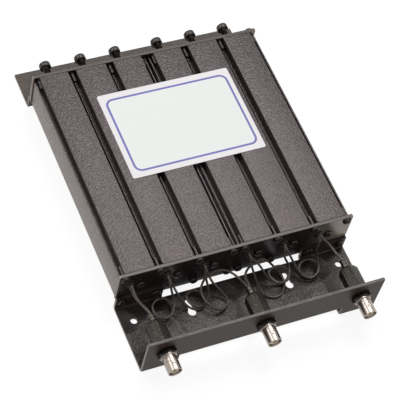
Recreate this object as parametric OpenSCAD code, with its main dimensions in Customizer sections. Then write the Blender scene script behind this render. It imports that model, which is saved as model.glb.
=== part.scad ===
// Cavity duplexer: two blocks of three cavities between end plates, carried by a front and a rear bracket,
// with three bayonet jacks on the front bracket's lip and thin coaxial leads from jack to cavity.
// Millimetres. +Y runs from the jacks to the tuning screws, +Z is up, Z = 0 is the brackets' underside.

/* [Cavity blocks] */
// Width of one block of three cavities
block_w = 83.1; // [82:0.1:90]
// Length of a block between the end plates
block_l = 165.4; // [160:0.1:185]
// Height of a block
block_h = 31.5; // [31:0.1:36]
// Gap between the two blocks
block_gap = 2; // [1:0.1:5]
// Height of the blocks' underside over the surface that the brackets stand on
block_lift = 5.4; // [4:0.1:7]
// Width of the grooves between the top panels
groove_w = 5.7; // [5:0.1:6.4]
// Depth of the grooves
groove_depth = 7; // [5.5:0.1:7.5]
// Distance between the two grooves of a block
groove_pitch = 28; // [27.5:0.1:28.5]
// Sideways offset of a block's groove pattern from its middle
groove_shift = -0.4; // [-0.6:0.1:0.6]
// Thickness of the fin that stands in each groove
fin_t = 0.9; // [0.7:0.1:1.4]
// Drop of the fins and of the side walls below the top panels
fin_drop = 3.75; // [2.5:0.05:4.5]
// Thickness of a block's side walls
side_wall_t = 1.2; // [1:0.1:1.6]
// Width from a block's side to the edge of its outer panel
side_step_w = 3.75; // [3.2:0.05:4.2]

/* [Cavities] */
// Wall between a block's side and its outer cavity
cavity_side_t = 3.5; // [3:0.1:4]
// Wall between neighbouring cavities
cavity_wall_t = 2.8; // [2:0.1:4]
// Wall between a groove's floor and the cavity under it
web_t = 1.6; // [1.2:0.1:2]
// Wall between a top panel and its cavity
panel_t = 2.2; // [1.8:0.1:3]

/* [End plates] */
// Thickness of the end plates
plate_t = 2.3; // [1.5:0.1:4]
// How far an end plate stands out past the blocks' sides
plate_proud = 0.9; // [0.4:0.1:2]
// Radius of an end plate's lower corners
plate_corner_r = 6; // [3:0.1:7]

/* [Plate screws] */
// Diameter of the plate screws' shanks
plate_screw_d = 3; // [2.5:0.1:3.2]
// Length of the plate screws inside the blocks
plate_screw_l = 8; // [5:0.5:12]
// Diameter of the plate screws' heads
plate_head_d = 6.2; // [5.4:0.1:6.4]
// Height of the plate screws' heads
plate_head_h = 2.1; // [1.6:0.1:2.6]
// Distance of a screw row from the plate's top or bottom edge
screw_edge = 3.3; // [3.2:0.1:4]
// Distance of a block's outermost screws from its sides
screw_inset = 3.2; // [2.6:0.1:3.6]

/* [Brackets] */
// Thickness of the brackets' sheet
sheet_t = 2; // [1.2:0.1:2.5]
// Inside radius of the brackets' bends
bend_r = 1; // [0.5:0.1:2]
// Width of the tabs that hold the end plates
tab_w = 33.7; // [31:0.1:36]
// Height of the tabs
tab_h = 13.1; // [12.5:0.1:15]
// Distance from the front end plate to the lip
lip_gap = 49; // [47:0.5:56]
// Height of the lip
lip_h = 35.1; // [30:0.1:42]
// Width of the window in the lip's bend
window_w = 119.6; // [100:0.1:125]
// Height of the window's upper edge
window_h = 11.3; // [8:0.1:12]
// How far the window reaches into the floor
window_in = 3; // [2:0.1:4]
// Reach of the rear bracket's flange behind the rear end plate
flange_l = 29.6; // [26:0.1:40]
// Diameter of the round mounting holes
mount_hole_d = 4.7; // [4:0.1:6]
// Sideways distance of the round mounting holes from the brackets' ends
mount_hole_inset = 9; // [6:0.5:15]
// Distance of the round mounting holes from the end plates
mount_hole_y = 14.2; // [10:0.1:20]
// Sideways distance of the keyholes from the brackets' ends
keyhole_inset = 48.8; // [40:0.1:55]
// Diameter of a keyhole's round end
keyhole_d = 5.8; // [5:0.1:7]
// Width of a keyhole's slot
keyhole_slot_w = 3.5; // [3:0.1:4.2]
// Distance of a keyhole's narrow end from the front end plate
keyhole_near = 9; // [7:0.1:12]
// Distance of a keyhole's round end from the front end plate
keyhole_far = 19.3; // [17:0.1:24]

/* [Resonators] */
// Diameter of a resonator rod
rod_d = 9.5; // [8:0.1:10.5]
// Length of a resonator rod
rod_l = 138; // [125:1:142]
// Height of the rods' axes over the blocks' underside
rod_lift = 17.6; // [16:0.1:18.5]
// Diameter of the hollow in a rod's free end
rod_bore_d = 6.6; // [6.2:0.1:7.2]
// Depth of the hollow in a rod's free end
rod_bore_l = 24; // [22:0.5:35]
// Diameter of the screw that holds a rod
rod_screw_d = 4; // [3:0.1:5]
// Length of that screw inside the rod
rod_screw_l = 10; // [6:0.5:16]
// Diameter of that screw's head
rod_head_d = 6; // [5.5:0.1:6.6]
// Height of that screw's head
rod_head_h = 2.2; // [1.6:0.1:2.8]

/* [Tuning screws] */
// Diameter of a tuning screw
tuning_d = 5; // [4:0.1:5.2]
// Length of a tuning screw inside the rod's hollow, at rest
tuning_in = 10; // [8:0.5:12]
// Distance of the cap's near face from the rear end plate, at rest
tuning_out = 14; // [13:0.1:18]
// Diameter of the cap
cap_d = 8.2; // [7:0.1:10]
// Length of the cap
cap_l = 4; // [3.5:0.1:6]
// Depth of the cap's blind hole
cap_hole_l = 2.6; // [2:0.1:3]
// Diameter of the threaded bushing where it passes the rear end plate
bushing_d = 8; // [7:0.1:9]
// Diameter of the bushing's inner flange
bushing_flange_d = 11; // [10:0.1:12]
// Thickness of the bushing's inner flange
bushing_flange_t = 2.5; // [1.5:0.1:4]
// How far the bushing stands out of the rear end plate
bushing_out = 1.5; // [0.5:0.1:2]
// Width across the flats of a lock nut
lock_nut_af = 8; // [7.5:0.1:10]
// Thickness of a lock nut
lock_nut_t = 3.2; // [2:0.1:4]
// Running clearance round a tuning screw in its bushing
running_gap = 0.06; // [0.03:0.01:0.09]

/* [Jacks] */
// Sideways distance of the outer jacks from the lip's ends, before the offset
jack_inset = 14.6; // [13:0.1:21]
// Sideways offset of the three jacks
jack_shift = -0.3; // [-1:0.1:1]
// Height of the jacks' axes
jack_z = 21.3; // [19.5:0.1:24]
// Reach of a jack in front of the lip
jack_l = 15.5; // [14.5:0.1:18]
// Diameter of a jack's barrel
barrel_d = 9.7; // [9.5:0.05:9.8]
// Bore of a jack's barrel
barrel_bore_d = 8.2; // [8.1:0.05:8.4]
// Depth of the barrel's bore
barrel_bore_l = 9; // [8:0.1:9.4]
// Diameter of a bayonet stud
stud_d = 2; // [1.8:0.05:2.1]
// Distance across both bayonet studs
stud_span = 11.05; // [10.9:0.05:11.2]
// Distance of the studs from the jack's tip
stud_back = 5.2; // [4.8:0.1:5.6]
// Diameter of the threaded neck that passes the lip
neck_d = 9.4; // [9:0.1:9.4]
// Length of the neck behind the lip
neck_l = 11; // [8:0.5:12]
// Width across the flats of the front nut
jack_nut_af = 12; // [11.5:0.1:13]
// Thickness of the front nut
jack_nut_t = 2.4; // [2:0.1:3]
// Diameter of the collar that a barrel has in front of its nut
collar_d = 11; // [10.4:0.1:11.4]
// Thickness of the collar
collar_t = 1; // [0.8:0.1:1.2]
// Diameter of the lock washer
washer_d = 13.6; // [13:0.1:15]
// Thickness of the lock washer
washer_t = 0.8; // [0.5:0.1:1]
// Width across the flats of the rear sleeve
sleeve_af = 12; // [11.5:0.1:13]
// Length of the rear sleeve
sleeve_l = 19.6; // [16:0.1:21]
// Length of the sleeve's turned-down rear end
sleeve_taper = 1.8; // [0.8:0.1:2.4]
// Diameter of the sleeve's rear face
sleeve_end_d = 10.8; // [9:0.1:11.4]
// Diameter of the cable ferrule
ferrule_d = 4.6; // [4.4:0.1:5.5]
// Length of the ferrule behind the sleeve
ferrule_l = 7.2; // [5:0.1:8]
// Length of the ferrule inside the sleeve
ferrule_in = 6; // [4:0.5:6.5]
// Diameter of the insulator's nose
insulator_d = 6.2; // [5.8:0.1:6.4]
// Diameter of the insulator's base
insulator_base_d = 6.6; // [6.2:0.1:7]
// Length of the insulator's base
insulator_base_l = 5.5; // [4:0.1:6]
// Distance of the insulator's face behind the jack's tip
insulator_back = 1; // [0.6:0.1:2]
// Diameter of the centre contact
contact_d = 2.1; // [1.9:0.05:2.3]
// Diameter of the contact's socket
contact_bore_d = 1.35; // [1.3:0.05:1.4]
// Depth of the contact's socket
contact_bore_l = 5; // [4:0.5:8]

/* [Leads and loops] */
// Diameter of a lead
lead_d = 1.6; // [1.3:0.1:1.7]
// Distance between the two leads that share a feed-through
lead_pair = 1.85; // [1.75:0.05:2.3]
// Turn of those two leads round each other, from lying side by side
lead_turn = 67; // [50:1:80]
// Sideways distance of a feed-through from its rod
exit_side = 7.6; // [7.2:0.1:8]
// Height of the feed-throughs over the rods' axes
exit_up = 2.5; // [2:0.1:4]
// Diameter of a feed-through's flange
grommet_d = 6.4; // [5.6:0.1:7]
// Thickness of a feed-through's flange
grommet_t = 1.2; // [0.8:0.1:1.6]
// Diameter of a feed-through in the plate
grommet_hole_d = 4.8; // [4:0.1:5]
// Diameter of a coupling loop's wire
loop_wire_d = 1.5; // [1:0.1:2]
// Length of a coupling loop
loop_l = 32; // [20:0.5:45]
// Height of a coupling loop
loop_h = 9; // [7:0.1:10]

/* [Label] */
// Width of the label
label_w = 98.8; // [80:0.1:110]
// Length of the label
label_l = 71.4; // [50:0.1:80]
// Thickness of the label
label_t = 0.3; // [0.2:0.05:0.6]
// Radius of the label's corners
label_r = 1.5; // [0.5:0.1:4]
// Sideways offset of the label
label_x = 0.9; // [-3:0.1:3]
// Distance of the label from the front end plate's face
label_y = 70; // [60:0.1:75]

/* [Hidden] */
$fn = 48;
slip = 0.05; // clearance round a fixed piece in its hole
screw_gap = 0.1; // clearance round a screw's shank
cut = 1; // how far a cutting shape runs past the surface
recess_w = 0.8; // width of the arms of a cross recess
recess_span = 3.4; // span of a cross recess
recess_depth = 0.9; // depth of a cross recess
blocks = [-1, 1]; // left and right
ends = [-1, 1]; // the two sides of a block, plate or bracket
cavities = [0:5]; // counted from the left
jacks = [0:2]; // counted from the left

plate_w = 2 * block_w + block_gap + 2 * plate_proud;
cavity_w = (block_w - 2 * cavity_side_t - 2 * cavity_wall_t) / 3;
cavity_pitch = cavity_w + cavity_wall_t;
jack_pitch = plate_w / 2 - jack_inset;
mount_hole_x = plate_w / 2 - mount_hole_inset;
keyhole_x = plate_w / 2 - keyhole_inset;
body_l = block_l + 2 * plate_t;
block_top = block_lift + block_h;
front_reach = lip_gap + sheet_t + jack_l;
rear_reach = body_l + flange_l;
mid_y = (rear_reach - front_reach) / 2; // from the front plate's face to the part's middle
bend_out_r = bend_r + sheet_t;
rod_z = block_lift + rod_lift;
exit_z = rod_z + exit_up;
lip_y = -lip_gap - sheet_t; // the lip's front face
tip_y = lip_y - jack_l;
nut_y = lip_y - washer_t - jack_nut_t; // the front nut's face
neck_y = tip_y + barrel_bore_l + cut / 2; // where the barrel ends and the neck begins
ferrule_y = -lip_gap + sleeve_l + ferrule_l; // the ferrule's rear end
rod_end_y = plate_t + rod_l;
cap_y = body_l + tuning_out;

function block_x(side) = side * (block_gap + block_w) / 2;
function cavity_x(n) = block_x(n < 3 ? -1 : 1) + (n % 3 - 1) * cavity_pitch;
function exit_x(n) = cavity_x(n) - exit_side;
function jack_x(n) = jack_shift + (n - 1) * jack_pitch;
function block_screw_xs() = [for (side = ends, x = [groove_pitch / 2, block_w / 2 - screw_inset]) side * x];
function plate_screw_xs() = [for (b = blocks, x = block_screw_xs()) block_x(b) + x];
function over_tab(x) = abs(x) > plate_w / 2 - tab_w;
function tab_screw_xs() = [for (x = plate_screw_xs()) if (over_tab(x)) x];
function clear_screw_xs() = [for (x = plate_screw_xs()) if (!over_tab(x)) x];
low_row = block_lift + screw_edge;
high_row = block_top - screw_edge;

// Leads: each runs from one fitting to another. side is -1 or 1 where two leads share a fitting, else 0
forwards = [0, -1, 0]; // towards the lip
rearwards = [0, 1, 0]; // towards the end plate
function pair_turn(n) = n == 0 || n == 5 ? lead_turn : -lead_turn;
function at_exit(n, side) = [
    exit_x(n) + side * lead_pair / 2 * cos(pair_turn(n)),
    -grommet_t,
    exit_z + side * lead_pair / 2 * sin(pair_turn(n))
];
function at_ferrule(n, side) = [jack_x(n) + side * lead_pair / 2, ferrule_y, jack_z];

route_jack_1_to_1 = [[-76, -8, 25], [-73, -16, 22]];
route_1_to_2 = [
    [-76, -8, 23], [-72, -15, 20], [-66, -20, 12], [-59, -21, 6], [-51, -17, 5], [-49, -10, 4],
    [-54, -7, 8], [-62, -10, 8], [-62, -17, 7], [-55, -22, 9], [-50, -17, 11], [-50, -9, 20]
];
route_2_to_3 = [
    [-46, -8, 16], [-42, -13, 9], [-35, -19, 4], [-27, -18, 3], [-25, -11, 4], [-30, -7, 6],
    [-38, -11, 8], [-34, -18, 6], [-26, -17, 6], [-23, -11, 12], [-24, -5, 21]
];
route_3_to_jack_2 = [
    [-20, -8, 16], [-13, -14, 7], [-11, -20, 4], [-18, -25, 5], [-26, -21, 9], [-28, -11, 11],
    [-22, -4, 15], [-11, -4, 19], [-3, -10, 17], [-1, -16, 18]
];
route_jack_2_to_4 = [
    [2, -14, 18], [8, -6, 15], [17, -4, 19], [27, -5, 10], [33, -13, 3],
    [30, -22, 3], [24, -26, 3], [15, -22, 4], [11, -13, 12], [9, -6, 21]
];
route_4_to_5 = [
    [15, -7, 18], [20, -13, 10], [28, -17, 5], [35, -17, 5], [38, -11, 6], [30, -8, 11],
    [22, -11, 11], [25, -20, 11], [35, -16, 9], [38, -10, 10], [34, -6, 20]
];
route_5_to_6 = [
    [39, -8, 17], [44, -14, 8], [50, -20, 5], [58, -17, 6], [59, -9, 6], [51, -7, 6],
    [46, -12, 5], [51, -19, 3], [59, -15, 3], [61, -10, 6], [60, -6, 14]
];
route_6_to_jack_3 = [[66, -9, 23], [68, -16, 22]];

function unit(v) = v / norm(v);
// Direction of a path at point i, square to the fittings at both ends
function tangent(path, i, first, last) =
    i == 0 ? first : i == len(path) - 1 ? last : unit(path[i + 1] - path[i - 1]);
// A side vector at each point, carried along the directions without twist
function sides(along, i, s) = i == len(along) ? [] :
    let (n = unit(s - (s * along[i]) * along[i])) concat([n], sides(along, i + 1, n));

// Moves a shape from the front end plate's face, where it is drawn, to the part's own origin
module placed() {
    translate([0, -mid_y, 0]) children();
}

// Turns a shape so that its +Z points to the rear
module to_rear(x, y, z) {
    translate([x, y, z]) rotate([-90, 0, 0]) children();
}

// Turns a shape so that its +Z points to the front
module to_front(x, y, z) {
    translate([x, y, z]) rotate([90, 0, 0]) children();
}

// Hexagonal prism with a corner up once it is turned to the front or rear
module hexagon(across_flats, height) {
    rotate([0, 0, 90]) cylinder(d = across_flats / cos(30), h = height, $fn = 6);
}

// Pan head with a cross recess on Z = 0, and its shank below
module pan_screw(shank_d, shank_l, head_d, head_h) {
    r = head_d / 2;
    difference() {
        union() {
            translate([0, 0, -shank_l]) cylinder(d = shank_d, h = shank_l + head_h / 2);
            rotate_extrude()
                polygon([
                    [0, 0], [r, 0], [r, head_h * 0.45], [r * 0.93, head_h * 0.75],
                    [r * 0.75, head_h * 0.92], [r * 0.4, head_h], [0, head_h]
                ]);
        }
        for (turn = [45, 135])
            rotate([0, 0, turn])
                translate([-recess_span / 2, -recess_w / 2, head_h - recess_depth])
                    cube([recess_span, recess_w, recess_depth + cut]);
    }
}

// Cuts at the top of a block's section: the two grooves with their fins, and the slots inside the side walls
module top_cuts() {
    for (side = ends) {
        difference() {
            translate([groove_shift + side * groove_pitch / 2 - groove_w / 2, block_h - groove_depth])
                square([groove_w, groove_depth + cut]);
            translate([groove_shift + side * groove_pitch / 2 - fin_t / 2, block_h - groove_depth - cut])
                square([fin_t, groove_depth + cut - fin_drop]);
        }
    }
    for (side = ends) {
        wall_in = block_w / 2 - side_wall_t;
        step_in = block_w / 2 - side_step_w + side * groove_shift;
        mirror([side < 0 ? 1 : 0, 0]) {
            translate([step_in, block_h - groove_depth])
                square([wall_in - step_in, groove_depth + cut]);
            translate([wall_in - cut, block_h - fin_drop])
                square([side_wall_t + 2 * cut, fin_drop + cut]);
        }
    }
}

// One cavity's section: wide between the grooves' floors, narrower up and down behind the panels
module cavity_section(n) {
    wide_h = block_h - 2 * (groove_depth + web_t);
    panel_w = groove_pitch - groove_w - 2 * web_t;
    narrow_w = n == 0 ? panel_w : block_w / 2 - side_step_w - groove_pitch / 2 - groove_w / 2 - 2 * web_t;
    narrow_x = n == 0 ? groove_shift
        : groove_shift + n * (groove_pitch / 2 + groove_w / 2 + web_t + narrow_w / 2);
    translate([n * cavity_pitch - cavity_w / 2, (block_h - wide_h) / 2]) square([cavity_w, wide_h]);
    translate([narrow_x - narrow_w / 2, panel_t]) square([narrow_w, block_h - 2 * panel_t]);
}

module block_section() {
    difference() {
        translate([-block_w / 2, 0]) square([block_w, block_h]);
        top_cuts();
        translate([0, block_h]) mirror([0, 1]) top_cuts();
        for (n = [-1:1]) cavity_section(n);
    }
}

module cavity_block(side) {
    color("dimgray") placed()
        difference() {
            translate([block_x(side), plate_t + block_l, block_lift])
                rotate([90, 0, 0]) linear_extrude(block_l) block_section();
            for (x = block_screw_xs(), z = [low_row, high_row], y = [0, body_l - plate_t - plate_screw_l])
                to_rear(block_x(side) + x, y, z)
                    cylinder(d = plate_screw_d + 2 * screw_gap, h = plate_t + plate_screw_l);
        }
}

// An end plate's outline with round lower corners, in its own plane from its lower edge up
module plate_outline() {
    r = plate_corner_r;
    translate([-plate_w / 2 + r, 0]) square([plate_w - 2 * r, block_h]);
    translate([-plate_w / 2, r]) square([plate_w, block_h - r]);
    for (side = ends) translate([side * (plate_w / 2 - r), r]) circle(r = r);
}

module plate_blank(y) {
    difference() {
        translate([0, y + plate_t, block_lift]) rotate([90, 0, 0]) linear_extrude(plate_t) plate_outline();
        for (x = plate_screw_xs(), z = [low_row, high_row])
            to_rear(x, y - cut, z) cylinder(d = plate_screw_d + 2 * screw_gap, h = plate_t + 2 * cut);
    }
}

module front_end_plate() {
    color("#1c1819") placed()
        difference() {
            plate_blank(0);
            for (n = cavities) {
                to_rear(cavity_x(n), -cut, rod_z)
                    cylinder(d = rod_screw_d + 2 * screw_gap, h = plate_t + 2 * cut);
                to_rear(exit_x(n), -cut, exit_z)
                    cylinder(d = grommet_hole_d + 2 * slip, h = plate_t + 2 * cut);
            }
        }
}

module rear_end_plate() {
    color("#1c1819") placed()
        difference() {
            plate_blank(body_l - plate_t);
            for (n = cavities)
                to_rear(cavity_x(n), body_l - plate_t - cut, rod_z)
                    cylinder(d = bushing_d + 2 * slip, h = plate_t + 2 * cut);
        }
}

// Quarter of a bent sheet's section, round the origin, between +X and +Y
module bend_section() {
    intersection() {
        difference() {
            circle(r = bend_out_r);
            circle(r = bend_r);
        }
        square(bend_out_r + cut);
    }
}

// A bracket's section drawn with the end plate's face at X = 0 and the floor running to -X
module tab_and_floor_section(reach, turned_up) {
    floor_end = turned_up ? reach - bend_out_r : reach;
    translate([-sheet_t, bend_out_r]) square([sheet_t, tab_h - bend_out_r]);
    translate([-bend_out_r, bend_out_r]) rotate(-90) bend_section();
    translate([-floor_end, 0]) square([floor_end - bend_out_r, sheet_t]);
    if (turned_up) {
        translate([-floor_end, bend_out_r]) rotate(180) bend_section();
        translate([-reach, bend_out_r]) square([sheet_t, lip_h - bend_out_r]);
    }
}

// A folded sheet across the part, with the middle of its tabs cut away
module folded_sheet(reach, turned_up) {
    difference() {
        translate([-plate_w / 2, 0, 0]) rotate([90, 0, 90])
            linear_extrude(plate_w) tab_and_floor_section(reach, turned_up);
        translate([-plate_w / 2 + tab_w, -bend_out_r, -cut])
            cube([plate_w - 2 * tab_w, bend_out_r + cut, tab_h + 2 * cut]);
        for (x = tab_screw_xs())
            to_rear(x, -bend_out_r, low_row)
                cylinder(d = plate_screw_d + 2 * screw_gap, h = bend_out_r + cut);
        for (side = ends)
            translate([side * mount_hole_x, -mount_hole_y, -cut])
                cylinder(d = mount_hole_d, h = sheet_t + 2 * cut);
    }
}

module front_bracket() {
    color("#55504c") placed()
        difference() {
            folded_sheet(lip_gap + sheet_t, true);
            translate([-window_w / 2, lip_y - cut, -cut])
                cube([window_w, sheet_t + window_in + cut, window_h + cut]);
            for (side = ends)
                translate([side * keyhole_x, 0, -cut]) {
                    slot_r = keyhole_slot_w / 2;
                    translate([0, -keyhole_far, 0]) cylinder(d = keyhole_d, h = sheet_t + 2 * cut);
                    translate([0, -keyhole_near - slot_r, 0]) cylinder(r = slot_r, h = sheet_t + 2 * cut);
                    translate([-slot_r, -keyhole_far, 0])
                        cube([keyhole_slot_w, keyhole_far - keyhole_near - slot_r, sheet_t + 2 * cut]);
                }
            for (n = jacks)
                to_rear(jack_x(n), lip_y - cut, jack_z)
                    cylinder(d = neck_d + 2 * slip, h = sheet_t + 2 * cut);
        }
}

module rear_bracket() {
    color("#6b6769") placed()
        translate([0, body_l, 0]) rotate([0, 0, 180]) folded_sheet(flange_l, false);
}

module label_plate() {
    color("#f0f1f0") placed()
        translate([label_x - label_w / 2, label_y, block_top])
            linear_extrude(label_t) {
                translate([label_r, 0]) square([label_w - 2 * label_r, label_l]);
                translate([0, label_r]) square([label_w, label_l - 2 * label_r]);
                for (x = [label_r, label_w - label_r], y = [label_r, label_l - label_r])
                    translate([x, y]) circle(r = label_r);
            }
}

module resonator_rod(n) {
    color("#c8a860") placed()
        to_rear(cavity_x(n), plate_t, rod_z)
            difference() {
                cylinder(d = rod_d, h = rod_l);
                translate([0, 0, -cut]) cylinder(d = rod_screw_d + 2 * screw_gap, h = rod_screw_l + 2 * cut);
                translate([0, 0, rod_l - rod_bore_l]) cylinder(d = rod_bore_d, h = rod_bore_l + cut);
            }
}

// A wire that runs in beside the rod, turns down and comes back to the plate
module coupling_loop(n) {
    r = loop_h / 2;
    color("#c08a50") placed()
        to_rear(exit_x(n), plate_t, exit_z) {
            cylinder(d = loop_wire_d, h = loop_l - r);
            translate([0, loop_h, 0]) cylinder(d = loop_wire_d, h = loop_l - r);
            translate([0, r, loop_l - r]) rotate([90, 0, 90])
                rotate_extrude(angle = 180) translate([r, 0]) circle(d = loop_wire_d, $fn = 24);
        }
}

module tuning_screw(n) {
    start = rod_end_y - tuning_in;
    color("#b9a070") placed()
        to_rear(cavity_x(n), start, rod_z) cylinder(d = tuning_d, h = cap_y + cap_hole_l - slip - start);
}

module tuning_cap(n) {
    r = cap_d / 2;
    color("#141414") placed()
        to_rear(cavity_x(n), cap_y, rod_z)
            difference() {
                rotate_extrude()
                    polygon([
                        [0, 0], [r * 0.9, 0], [r, cap_l * 0.12], [r, cap_l * 0.62], [r * 0.94, cap_l * 0.82],
                        [r * 0.78, cap_l * 0.95], [r * 0.5, cap_l], [0, cap_l]
                    ]);
                translate([0, 0, -cut]) cylinder(d = tuning_d + 2 * slip, h = cap_hole_l + cut);
            }
}

module tuning_bushings() {
    color("#b08d57") placed()
        for (n = cavities)
            to_rear(cavity_x(n), body_l - plate_t - bushing_flange_t, rod_z)
                difference() {
                    union() {
                        cylinder(d = bushing_flange_d, h = bushing_flange_t);
                        cylinder(d = bushing_d, h = bushing_flange_t + plate_t + bushing_out);
                    }
                    translate([0, 0, -cut])
                        cylinder(
                            d = tuning_d + 2 * running_gap,
                            h = bushing_flange_t + plate_t + bushing_out + 2 * cut
                        );
                }
}

module tuning_lock_nuts() {
    color("silver") placed()
        for (n = cavities)
            to_rear(cavity_x(n), body_l + bushing_out, rod_z)
                difference() {
                    hexagon(lock_nut_af, lock_nut_t);
                    translate([0, 0, -cut]) cylinder(d = tuning_d + 2 * screw_gap, h = lock_nut_t + 2 * cut);
                }
}

module resonator_screws() {
    color("#8a8682") placed()
        for (n = cavities)
            to_front(cavity_x(n), 0, rod_z)
                pan_screw(rod_screw_d, plate_t + rod_screw_l, rod_head_d, rod_head_h);
}

module plate_screw(through) {
    pan_screw(plate_screw_d, through + plate_screw_l, plate_head_d, plate_head_h);
}

module front_plate_screws() {
    color("#6d6a68") placed() {
        for (x = plate_screw_xs()) to_front(x, 0, high_row) plate_screw(plate_t);
        for (x = clear_screw_xs()) to_front(x, 0, low_row) plate_screw(plate_t);
    }
}

module rear_plate_screws() {
    color("#6d6a68") placed() {
        for (x = plate_screw_xs()) to_rear(x, body_l, high_row) plate_screw(plate_t);
        for (x = clear_screw_xs()) to_rear(x, body_l, low_row) plate_screw(plate_t);
    }
}

module front_bracket_screws() {
    color("#6d6a68") placed()
        for (x = tab_screw_xs()) to_front(x, -sheet_t, low_row) plate_screw(sheet_t + plate_t);
}

module rear_bracket_screws() {
    color("#6d6a68") placed()
        for (x = tab_screw_xs()) to_rear(x, body_l + sheet_t, low_row) plate_screw(sheet_t + plate_t);
}

module lead_grommets() {
    color("#3a3836") placed()
        for (n = cavities)
            to_rear(exit_x(n), -grommet_t, exit_z) {
                cylinder(d = grommet_d, h = grommet_t);
                cylinder(d = grommet_hole_d, h = grommet_t + plate_t);
            }
}

// The jack's body: barrel with bayonet studs, and the threaded neck with its collar, through the lip
module connector_body(n) {
    length = -lip_gap + neck_l - tip_y;
    color("#cfcdc8") placed()
        to_rear(jack_x(n), tip_y, jack_z)
            difference() {
                union() {
                    cylinder(d = barrel_d, h = neck_y - tip_y);
                    cylinder(d = neck_d, h = length);
                    translate([0, 0, nut_y - collar_t - tip_y]) cylinder(d = collar_d, h = collar_t);
                    translate([0, -stud_span / 2, stud_back])
                        rotate([-90, 0, 0]) cylinder(d = stud_d, h = stud_span);
                }
                translate([0, 0, -cut]) cylinder(d = barrel_bore_d, h = barrel_bore_l + cut);
                cylinder(d = insulator_base_d + 2 * slip, h = barrel_bore_l + insulator_base_l);
                cylinder(d = contact_d + 1, h = length + cut);
            }
}

module connector_nuts() {
    color("#bdbbb6") placed()
        for (n = jacks)
            to_front(jack_x(n), lip_y - washer_t, jack_z)
                difference() {
                    hexagon(jack_nut_af, jack_nut_t);
                    translate([0, 0, -cut]) cylinder(d = neck_d + 2 * slip, h = jack_nut_t + 2 * cut);
                }
}

module connector_washers() {
    color("#a8a6a0") placed()
        for (n = jacks)
            to_front(jack_x(n), lip_y, jack_z)
                difference() {
                    cylinder(d = washer_d, h = washer_t);
                    translate([0, 0, -cut]) cylinder(d = neck_d + 2 * slip, h = washer_t + 2 * cut);
                }
}

module connector_insulators() {
    color("#e8e2d8") placed()
        for (n = jacks)
            to_rear(jack_x(n), tip_y + insulator_back, jack_z)
                difference() {
                    union() {
                        cylinder(d = insulator_d, h = barrel_bore_l - insulator_back);
                        translate([0, 0, barrel_bore_l - insulator_back])
                            cylinder(d = insulator_base_d, h = insulator_base_l);
                    }
                    translate([0, 0, -cut])
                        cylinder(d = contact_d + 2 * slip, h = barrel_bore_l + insulator_base_l + 2 * cut);
                }
}

module connector_contacts() {
    length = jack_l + sheet_t + neck_l - insulator_back;
    color("#c9a84a") placed()
        for (n = jacks)
            to_rear(jack_x(n), tip_y + insulator_back, jack_z)
                difference() {
                    cylinder(d = contact_d, h = length);
                    translate([0, 0, -cut]) cylinder(d = contact_bore_d, h = contact_bore_l + cut);
                }
}

// Hexagonal sleeve behind the lip, its rear corners turned down to a cone
module connector_sleeve(n) {
    corner_r = sleeve_af / 2 / cos(30);
    color("#5a5856") placed()
        to_rear(jack_x(n), -lip_gap, jack_z)
            difference() {
                intersection() {
                    hexagon(sleeve_af, sleeve_l);
                    rotate_extrude()
                        polygon([
                            [0, 0], [corner_r, 0], [corner_r, sleeve_l - sleeve_taper],
                            [sleeve_end_d / 2, sleeve_l], [0, sleeve_l]
                        ]);
                }
                translate([0, 0, -cut]) cylinder(d = neck_d + 2 * slip, h = neck_l + cut);
                cylinder(d = ferrule_d + 2 * slip, h = sleeve_l + cut);
            }
}

module cable_ferrules() {
    color("#c4c2bd") placed()
        for (n = jacks)
            to_rear(jack_x(n), ferrule_y - ferrule_l - ferrule_in, jack_z) {
                cylinder(d = ferrule_d, h = ferrule_l + ferrule_in);
            }
}

// A lead: an eight-sided tube swept along its route, which starts and ends in the given directions
module lead(path, first, last) {
    count = 8;
    turn = 360 / count;
    along = [for (i = [0:len(path) - 1]) tangent(path, i, first, last)];
    frame = sides(along, 0, [0, 0, 1]);
    rings = [for (i = [0:len(path) - 1], k = [0:count - 1])
        path[i] + lead_d / 2 * (cos(k * turn) * frame[i] + sin(k * turn) * cross(along[i], frame[i]))];
    walls = [for (i = [0:len(path) - 2], k = [0:count - 1])
        let (a = i * count + k, b = i * count + (k + 1) % count)
            each [[a, b + count, b], [a, a + count, b + count]]];
    end = (len(path) - 1) * count;
    caps = [[for (k = [0:count - 1]) k], [for (k = [count - 1:-1:0]) end + k]];
    color("#6a6460") placed() polyhedron(points = rings, faces = concat(walls, caps));
}

cavity_block(-1);  // cavity_block_left
cavity_block(1);  // cavity_block_right
front_end_plate();
rear_end_plate();
front_bracket();
rear_bracket();
label_plate();
for (n = cavities) {
    resonator_rod(n);
    coupling_loop(n);
    tuning_screw(n);
    tuning_cap(n);
}
tuning_bushings();
tuning_lock_nuts();
resonator_screws();
front_plate_screws();
rear_plate_screws();
front_bracket_screws();
rear_bracket_screws();
lead_grommets();
for (n = jacks) {
    connector_body(n);
    connector_sleeve(n);
}
connector_nuts();
connector_washers();
connector_insulators();
connector_contacts();
cable_ferrules();
lead([at_exit(0, 1), each route_jack_1_to_1, at_ferrule(0, 0)], forwards, forwards);  // lead_jack_1_to_1
lead([at_exit(0, -1), each route_1_to_2, at_exit(1, -1)], forwards, rearwards);  // lead_1_to_2
lead([at_exit(1, 1), each route_2_to_3, at_exit(2, -1)], forwards, rearwards);  // lead_2_to_3
lead([at_exit(2, 1), each route_3_to_jack_2, at_ferrule(1, -1)], forwards, forwards);  // lead_3_to_jack_2
lead([at_ferrule(1, 1), each route_jack_2_to_4, at_exit(3, -1)], rearwards, rearwards);  // lead_jack_2_to_4
lead([at_exit(3, 1), each route_4_to_5, at_exit(4, -1)], forwards, rearwards);  // lead_4_to_5
lead([at_exit(4, 1), each route_5_to_6, at_exit(5, -1)], forwards, rearwards);  // lead_5_to_6
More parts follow.
